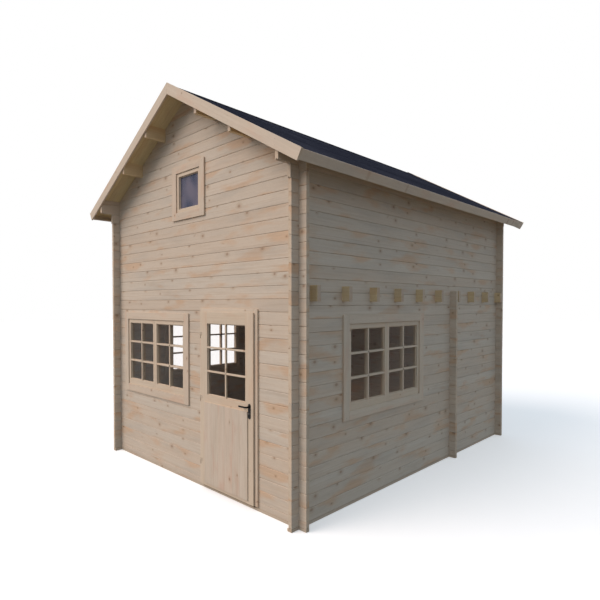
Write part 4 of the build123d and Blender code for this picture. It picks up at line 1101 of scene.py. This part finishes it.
def build_window(name, place, width, height, bottom, casing_w, sashes, columns, rows):
    """Casing, frame with its stop, and sashes of one window."""
    half, top = width / 2, bottom + height
    inner = (-half, half, bottom, top)
    outer = (-half - casing_w, half + casing_w, bottom - casing_w, top + casing_w)
    casing = boards_round(outer, inner, (-CASING_T, 0.0), CASING_EASE)
    timber(name + "_casing_boards", casing, trim_wood, [name + "_casing"], place=place)
    rim = FRAME_T + SASH_GAP
    frame_outer = (-half - rim, half + rim, bottom - rim, top + rim)
    frame_inner = (-half - SASH_GAP, half + SASH_GAP, bottom, top + SASH_GAP)
    deep = SASH_D - SASH_OUT + HAIR
    stop = (-half + FRAME_STOP, half - FRAME_STOP, bottom + FRAME_STOP, top - FRAME_STOP)
    rim_bars = boards_round(frame_outer, frame_inner, (HAIR, deep), FRAME_EASE)
    rim_bars += boards_round(frame_outer, stop, (deep + HAIR, FRAME_D), FRAME_EASE)
    timber(name + "_frame_timbers", rim_bars, joinery_wood, [name + "_frame"], place=place)
    wings, each = [], width / sashes
    for i in range(sashes):
        x = (-half + i * each + SASH_GAP / 2, -half + (i + 1) * each - SASH_GAP / 2)
        wings += sash_bars(x, (bottom + HAIR, top - SASH_GAP / 2), columns, rows)
    node = name + ("_sashes" if sashes > 1 else "_sash")
    timber(node + "_joinery", wings, joinery_wood, [node], place=place)
    spots = []
    for z in np.linspace(outer[2] + NAIL_IN, outer[3] - NAIL_IN, 5 if height > 0.6 else 3):
        for x in (outer[0] + casing_w / 2, outer[1] - casing_w / 2):
            spots.append((x, -CASING_T, z))
    for x in np.linspace(-half + LEVEL_NAIL_IN, half - LEVEL_NAIL_IN, 4 if width > 1.0 else 2):
        for z in (outer[2] + casing_w / 2, outer[3] - casing_w / 2):
            spots.append((x, -CASING_T, z))
    heads(name + "_casing_nails", spots, (0, -1, 0), NAIL_R, NAIL_HEAD, nail_steel, place=place)


def standing(turn, x, y):
    """Turn about Z by whole right angles and move."""
    c, s = round(math.cos(math.radians(turn))), round(math.sin(math.radians(turn)))
    return np.array([[c, -s, 0], [s, c, 0], [0, 0, 1.0]]), np.array([x, y, 0.0])


def build_windows():
    """Double windows in front and in both sides, and the small one in the gable."""
    spots = (("front_window", standing(0, FRONT_WINDOW_X, FRONT_Y)),
             ("right_window", standing(90, RIGHT_X, SIDE_WINDOW_Y)),
             ("left_window", standing(-90, -RIGHT_X, SIDE_WINDOW_Y)))
    for name, place in spots:
        build_window(name, place, WINDOW_W, WINDOW_H, WINDOW_Z, CASING_W, 2, 2, 3)
    build_window("gable_window", standing(0, 0.0, FRONT_Y), GABLE_WINDOW_W, GABLE_WINDOW_H,
                 GABLE_WINDOW_Z, GABLE_CASING_W, 1, 1, 1)


# Entry door

def build_doorway():
    """Casing, jambs, head and threshold."""
    outer = (*DOOR_CASING_X, *DOOR_CASING_Z)
    inner = (*DOOR_CLEAR_X, DOOR_CASING_Z[0], DOOR_CLEAR_TOP)
    casing = boards_round(outer, inner, (FRONT_Y - CASING_T, FRONT_Y), CASING_EASE, with_foot=False)
    timber("door_casing_boards", casing, trim_wood, ["door_casing"])
    y = (FRONT_Y + HAIR, FRONT_Y + FRAME_D)
    a, b = DOOR_CLEAR_X
    frame_bars = [
        bar((a - JAMB_T, y[0], THRESHOLD_TOP + HAIR), (a, y[1], DOOR_CLEAR_TOP - HAIR), 2),
        bar((b, y[0], THRESHOLD_TOP + HAIR), (b + JAMB_T, y[1], DOOR_CLEAR_TOP - HAIR), 2),
        bar((a - JAMB_T, y[0], DOOR_CLEAR_TOP), (b + JAMB_T, y[1], DOOR_CLEAR_TOP + JAMB_T), 0),
    ]
    timber("door_frame_timbers", frame_bars, joinery_wood, ["door_frame"])
    over_floor = FRONT_Y + LOG_T + FLOOR_EDGE - 2 * HAIR
    inside = FRONT_Y + FRAME_D + THRESHOLD_IN
    foot = SOLE_H + HAIR
    sill = [
        bar((a - JAMB_T, FRONT_Y, foot), (b + JAMB_T, over_floor, THRESHOLD_TOP), 0, SILL_EASE),
        bar((a - JAMB_T, over_floor, FLOOR_TOP + HAIR), (b + JAMB_T, inside, THRESHOLD_TOP), 0, FINE_EASE),
        bar((a + HAIR, FRONT_Y - THRESHOLD_OUT, foot), (b - HAIR, FRONT_Y, THRESHOLD_TOP), 0,
            SILL_NOSE_EASE),
    ]
    timber("door_sill", sill, sill_wood, ["door_threshold"])


def build_leaf():
    """
    Stiles and rails in two layers, the outer one lapping over the frame, with glazing bars and
    the beads that hold the pane.
    """
    lip, core = (LEAF_FACE_Y, LEAF_LIP_BACK), (LEAF_LIP_BACK + HAIR / 3, LEAF_BACK_Y)
    left, right = DOOR_GLASS_X
    low, high = DOOR_GLASS_Z
    luck = dice.random((5, 3))
    made = []
    for x, z, y in ((LEAF_X, LEAF_Z, lip), (BODY_X, BODY_Z, core)):
        made.append(bar((x[0], y[0], z[0]), (left, y[1], z[1]), 2, luck=luck[0]))
        made.append(bar((right, y[0], z[0]), (x[1], y[1], z[1]), 2, luck=luck[1]))
        rails = ((z[0], PANEL_OPEN_Z[0]), (PANEL_OPEN_Z[1], low), (high, z[1]))
        for k, (a, b) in enumerate(rails):
            made.append(bar((left, y[0], a), (right, y[1], b), 0, ends=(SEAM, SEAM), luck=luck[2 + k]))
    half = DOOR_BAR_W / 2
    middle = (left + right) / 2
    y = DOOR_BAR_Y
    made.append(bar((middle - half, y[0], low), (middle + half, y[1], high), 2, DOOR_BAR_EASE))
    for j in (1, 2):
        at = low + (high - low) * j / 3
        made.append(bar((left, y[0], at - half), (right, y[1], at + half), 0, DOOR_BAR_EASE))
    inner = (left + BEAD, right - BEAD, low + BEAD, high - BEAD)
    back = y[1] + 2 * HAIR + PANE_T
    for bead_y in ((y[1] - BEAD, y[1]), (back, back + BEAD)):
        made += boards_round((left, right, low, high), inner, bead_y, GLAZING_EASE)
    timber("entry_door_leaf", made, joinery_wood, ["door_leaf"], body="door")


def build_panel():
    """Upright boards on the leaf's lower half and the one board that closes it inside."""
    edges = np.linspace(PANEL_X[0], PANEL_X[1], PANEL_BOARDS + 1)
    face = LEAF_FACE_Y - PANEL_PROUD
    boards = [bar((a, face, PANEL_Z[0]), (b, LEAF_FACE_Y - HAIR, PANEL_Z[1]), 2, PANEL_EASE)
              for a, b in zip(edges[:-1], edges[1:])]
    low = (DOOR_GLASS_X[0] + HAIR, LEAF_FACE_Y, PANEL_OPEN_Z[0] + HAIR)
    high = (DOOR_GLASS_X[1] - HAIR, LEAF_FACE_Y + PANEL_INNER_T, PANEL_OPEN_Z[1] - HAIR)
    boards.append(bar(low, high, 2, FINE_EASE))
    timber("entry_door_panel", boards, panel_wood, ["door_panel"], body="door")


def turned(x, y, outline, sides=20):
    """
    Turned about the upright line through (x, y). Outline rows are (r, z), and point i of a
    row lies at (x + r cos a, y + r sin a, z).
    """
    outline = np.array(outline)
    a = np.linspace(0, 2 * np.pi, sides, endpoint=False)
    ring = np.stack([np.cos(a), np.sin(a)], 1)
    xy = outline[:, 0, None, None] * ring[None] + np.array([x, y])
    z = np.broadcast_to(outline[:, 1, None, None], xy[..., :1].shape)
    return tube(np.concatenate([xy, z], -1))


def build_hinges():
    """
    Three lift-off hinges. Each barrel is turned in two halves with rounded ends that meet at
    mid height, the lower one on the frame's bracket with the pin, the upper one on the wing.
    """
    fixed, moving, screws = [], [], []
    brackets, plates = [], []
    r = HINGE_R
    face = LEAF_FACE_Y - HINGE_PLATE_T
    end = [(r * 0.55, 0.0), (r * 0.85, 0.0008), (r, 0.0026)]
    meet = [(r, 0.0012), (r - 0.0006, 0.0006)]
    for z in HINGE_HEIGHTS:
        low, high = z - HINGE_HALF_H, z + HINGE_HALF_H
        lower = [(a, low + b) for a, b in end] + [(a, z - b) for a, b in meet]
        upper = [(a, z + b) for a, b in meet[::-1]] + [(a, high - b) for a, b in end[::-1]]
        pin = [(HINGE_PIN_R, low + HINGE_PIN_FROM), (HINGE_PIN_R, z + HINGE_PIN_UP)]
        fixed.append(turned(HINGE_X, LEAF_FACE_Y, lower))
        fixed.append(turned(HINGE_X, LEAF_FACE_Y, pin, 12))
        moving.append(turned(HINGE_X, LEAF_FACE_Y, upper))
        brackets.append(bar((HINGE_X - r, LEAF_FACE_Y, low + HINGE_CLEAR),
                            (HINGE_X - HINGE_CLEAR, FRONT_Y - CASING_T, z - 0.002), 2, STEEL_EASE))
        plates.append(bar((HINGE_X + HINGE_CLEAR, face, z + 0.002),
                          (LEAF_X[0] + HINGE_WING, LEAF_FACE_Y - HAIR / 3, high), 0, STEEL_EASE))
        for x in HINGE_SCREW_IN:
            screws += [(LEAF_X[0] + x, face, z + up) for up in HINGE_SCREW_UP]
    solid("hinge_posts", fixed + [carried(brackets, EASED)], hinge_steel, ["hinge_pins"])
    solid("hinge_wings", moving + [carried(plates, EASED)], hinge_steel,
          ["hinge_knuckles"], "door")
    heads("hinge_screws", screws, (0, -1, 0), HINGE_SCREW_R, HINGE_SCREW_HEAD, nail_steel, "door")


def lever_arm(face_y, out):
    """
    Lever on one face of the door. The middle line runs square out of the plate, round a
    quarter circle and level to the left. At place s along it the section is
    (wide(s) |cos a|^p, high(s) |sin a|^p) with their signs; wide and high change smoothly
    from the round neck to the flat grip and close round the tip.
    """
    bend = LEVER_BEND
    neck = PLATE_T + LEVER_OUT - bend
    arc = bend * math.pi / 2
    grip = LEVER_REACH - LEVER_NECK_R - bend
    total = neck + arc + grip
    tip_from = total - LEVER_TIP
    s = np.concatenate([np.linspace(0, neck, 5), neck + arc * np.linspace(0.12, 0.88, 7),
                        np.linspace(neck + arc, tip_from, 9),
                        total - LEVER_TIP * np.cos(np.linspace(0.1, np.pi / 2, 7))])
    turn = np.clip((s - neck) / bend, 0, math.pi / 2)
    gone = np.maximum(s - neck - arc, 0)
    x = -bend * (1 - np.cos(turn)) - gone
    y = np.minimum(s, neck) + bend * np.sin(turn)
    along = np.stack([-np.sin(turn), out * np.cos(turn), 0 * s], 1)
    centre = np.stack([LEVER_X + x, face_y + out * y, LEVER_Z + 0 * s], 1)
    across = np.cross((0, 0, 1.0), along)
    flat = smooth((s - neck) / (arc + LEVER_FLATTEN))
    tip = np.sqrt(np.clip(1 - ((s - tip_from) / LEVER_TIP).clip(0, 1) ** 2, 0.004, 1))
    wide = (LEVER_NECK_R * (1 - flat) + LEVER_GRIP_HALF * flat) * tip
    high = LEVER_NECK_R * tip
    a = np.linspace(0, 2 * np.pi, 20, endpoint=False)
    c, q = np.cos(a), np.sin(a)
    p = LEVER_ROUNDNESS
    c, q = np.sign(c) * np.abs(c) ** p, np.sign(q) * np.abs(q) ** p
    rings = (centre[:, None] + across[:, None] * wide[:, None, None] * c[None, :, None]
             + np.array([0, 0, 1.0]) * high[:, None, None] * q[None, :, None])
    return tube(rings)


def plate_body(face_y, out):
    """
    Long rounded backplate: a slot outline of half circles joined by straight sides, drawn in
    to a soft edge over four rings, z = middle + straight part + r sin, x = r cos.
    """
    r = PLATE_W / 2
    straight = (PLATE_Z[1] - PLATE_Z[0]) / 2 - r
    a = np.linspace(0, 2 * np.pi, 40, endpoint=False)
    z = np.sin(a)
    lift = np.where(z >= 0, straight, -straight)
    rings = []
    for inset, level in ((0.0, 0.0), (0.0, 0.0052), (0.0012, 0.0070), (0.0036, PLATE_T)):
        x = LEVER_X + (r - inset) * np.cos(a)
        up = (PLATE_Z[0] + PLATE_Z[1]) / 2 + lift + (r - inset) * z
        rings.append(np.stack([x, np.full_like(a, face_y + out * level), up], 1))
    rings = np.array(rings)
    return tube(rings if out < 0 else rings[:, ::-1])


def build_handle():
    """Backplates with their screws and lock, and the lever on both faces."""
    plates = [plate_body(LEAF_FACE_Y, -1), plate_body(LEAF_BACK_Y, 1)]
    solid("handle_backplates", plates, black_steel, ["handle_plates"], "door")
    trim = []
    for face, out in ((LEAF_FACE_Y - PLATE_T, -1), (LEAF_BACK_Y + PLATE_T, 1)):
        for z in (PLATE_Z[0] + PLATE_SCREW_IN, PLATE_Z[1] - PLATE_SCREW_IN):
            trim.append(studs([(LEVER_X, face, z)], (0, out, 0), HANDLE_SCREW_R, HANDLE_SCREW_HEAD))
        trim.append(studs([(LEVER_X, face, LEVER_Z - LOCK_DOWN)], (0, out, 0), LOCK_R, LOCK_PROUD))
    solid("handle_screws_and_lock", trim, nail_steel, body="door")
    arms = [lever_arm(LEAF_FACE_Y, -1), lever_arm(LEAF_BACK_Y, 1)]
    half = SPINDLE_HALF
    spindle = bar((LEVER_X - half, LEAF_FACE_Y, LEVER_Z - half),
                  (LEVER_X + half, LEAF_BACK_Y, LEVER_Z + half), 1, FINE_EASE)
    arms.append(carried([spindle], EASED))
    solid("lever_pair", arms, black_steel, ["door_lever"], "lever")


def build_trim_nails():
    """Nails in the bargeboards where they cross purlins and plates, and in the door casing."""
    spots = {-1: [], 1: []}
    for x in (PURLIN_INNER_X, PURLIN_OUTER_X, RIGHT_X - LOG_T / 2, APEX_NAIL_X):
        for way in (-1, 1):
            for depth in BARGE_NAIL_DOWN:
                z = roof_z(x, depth)
                for end in (-1, 1):
                    spots[end].append((way * x, end * (BARGE_FRONT_Y - NAIL_PROUD), z))
    for end, word in ((-1, "front"), (1, "back")):
        heads(word + "_bargeboard_nails", spots[end], (0, end, 0), BARGE_NAIL_R, NAIL_PROUD * 0.75,
              nail_steel)
    rows = []
    for z in np.linspace(DOOR_CASING_Z[0] + DOOR_NAIL_UP, DOOR_CASING_Z[1] - NAIL_IN, 7):
        for x in (DOOR_CASING_X[0] + DOOR_NAIL_IN, DOOR_CASING_X[1] - DOOR_NAIL_IN):
            rows.append((x, FRONT_Y - CASING_T, z))
    heads("door_casing_nails", rows, (0, -1, 0), NAIL_R, NAIL_HEAD, nail_steel)


def glaze():
    """The panes keep the solids' shape and get glass."""
    for name in ("front_window", "right_window", "left_window", "door", "gable_window"):
        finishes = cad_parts[name + "_glass"].data.materials
        finishes.clear()
        finishes.append(gable_pane_painted_sky if name == "gable_window" else pane_glass)


build_walls()
build_purlins()
build_roof_boards()
build_roof_trim()
build_felt()
build_soles()
build_ground_floor()
build_loft()
build_windows()
build_doorway()
build_leaf()
build_panel()
build_hinges()
build_handle()
build_trim_nails()
glaze()


# Floor, light and camera

def lay_studio_floor():
    """Pale floor that throws no light on the house."""
    s = STUDIO_HALF
    block = {"points": np.array([[-s, -s, 0], [s, -s, 0], [s, s, 0], [-s, s, 0.0]]),
             "faces": [np.array([[0, 1, 2, 3]])]}
    f = Finish("pale_floor", Roughness=0.9)
    where = f.place()
    speck = f.noise(where, (3.0, 3.0, 3.0), 3.0)
    material = f.done(f.mix(speck, (0.90, 0.90, 0.90, 1), (0.94, 0.94, 0.94, 1)))
    f.shader.inputs["Emission Color"].default_value = (1, 1, 1, 1)
    f.shader.inputs["Emission Strength"].default_value = 0.35
    floor = solid("studio_floor", [block], material)
    floor.location.z = -0.0005
    floor.visible_diffuse = False


def light_studio():
    """
    White to the camera; for everything else a glow that goes from the ground's colour to the
    sky's with the height of its direction, and one soft lamp.
    """
    world = bpy.data.worlds.new("studio")
    bpy.context.scene.world = world
    world.use_nodes = True
    tree = world.node_tree
    tree.nodes.clear()
    add, link = tree.nodes.new, tree.links.new
    output, choose = add("ShaderNodeOutputWorld"), add("ShaderNodeMixShader")
    sky, white = add("ShaderNodeBackground"), add("ShaderNodeBackground")
    white.inputs[0].default_value = (1, 1, 1, 1)
    path = add("ShaderNodeLightPath")
    where, apart = add("ShaderNodeTexCoord"), add("ShaderNodeSeparateXYZ")
    level, ramp = add("ShaderNodeMapRange"), add("ShaderNodeValToRGB")
    for i, value in enumerate((-0.25, 0.35, 0.0, 1.0)):
        level.inputs[1 + i].default_value = value
    ramp.color_ramp.elements[0].color = (*GROUND_GLOW, 1)
    ramp.color_ramp.elements[1].color = (*SKY_GLOW, 1)
    link(where.outputs["Generated"], apart.inputs[0])
    link(apart.outputs[2], level.inputs[0])
    link(level.outputs[0], ramp.inputs[0])
    link(ramp.outputs[0], sky.inputs[0])
    link(path.outputs["Is Camera Ray"], choose.inputs[0])
    link(sky.outputs[0], choose.inputs[1])
    link(white.outputs[0], choose.inputs[2])
    link(choose.outputs[0], output.inputs[0])

    lamp = bpy.data.lights.new("key", "SUN")
    lamp.energy = KEY_STRENGTH
    lamp.angle = math.radians(KEY_SOFTNESS)
    lamp.color = KEY_COLOUR
    key = bpy.data.objects.new("key", lamp)
    bpy.context.scene.collection.objects.link(key)
    key.rotation_euler = (math.radians(90 - KEY_HEIGHT), 0, math.radians(KEY_TURN))


def set_camera():
    """Camera at the photograph's viewing angle, its focal length worked out from pixels."""
    lens = bpy.data.cameras.new("camera")
    lens.sensor_width = SENSOR
    lens.lens = SENSOR * FOCAL_PIXELS / PICTURE
    lens.shift_y = (PRINCIPAL_Y - PICTURE / 2) / PICTURE
    lens.clip_end = 300
    camera = bpy.data.objects.new("camera", lens)
    camera.location = CAMERA_AT
    camera.rotation_euler = (math.radians(90 - CAMERA_DOWN), 0, math.radians(CAMERA_TURN))
    bpy.context.scene.collection.objects.link(camera)
    bpy.context.scene.camera = camera
    bpy.context.scene.view_settings.view_transform = "Standard"


lay_studio_floor()
light_studio()
set_camera()
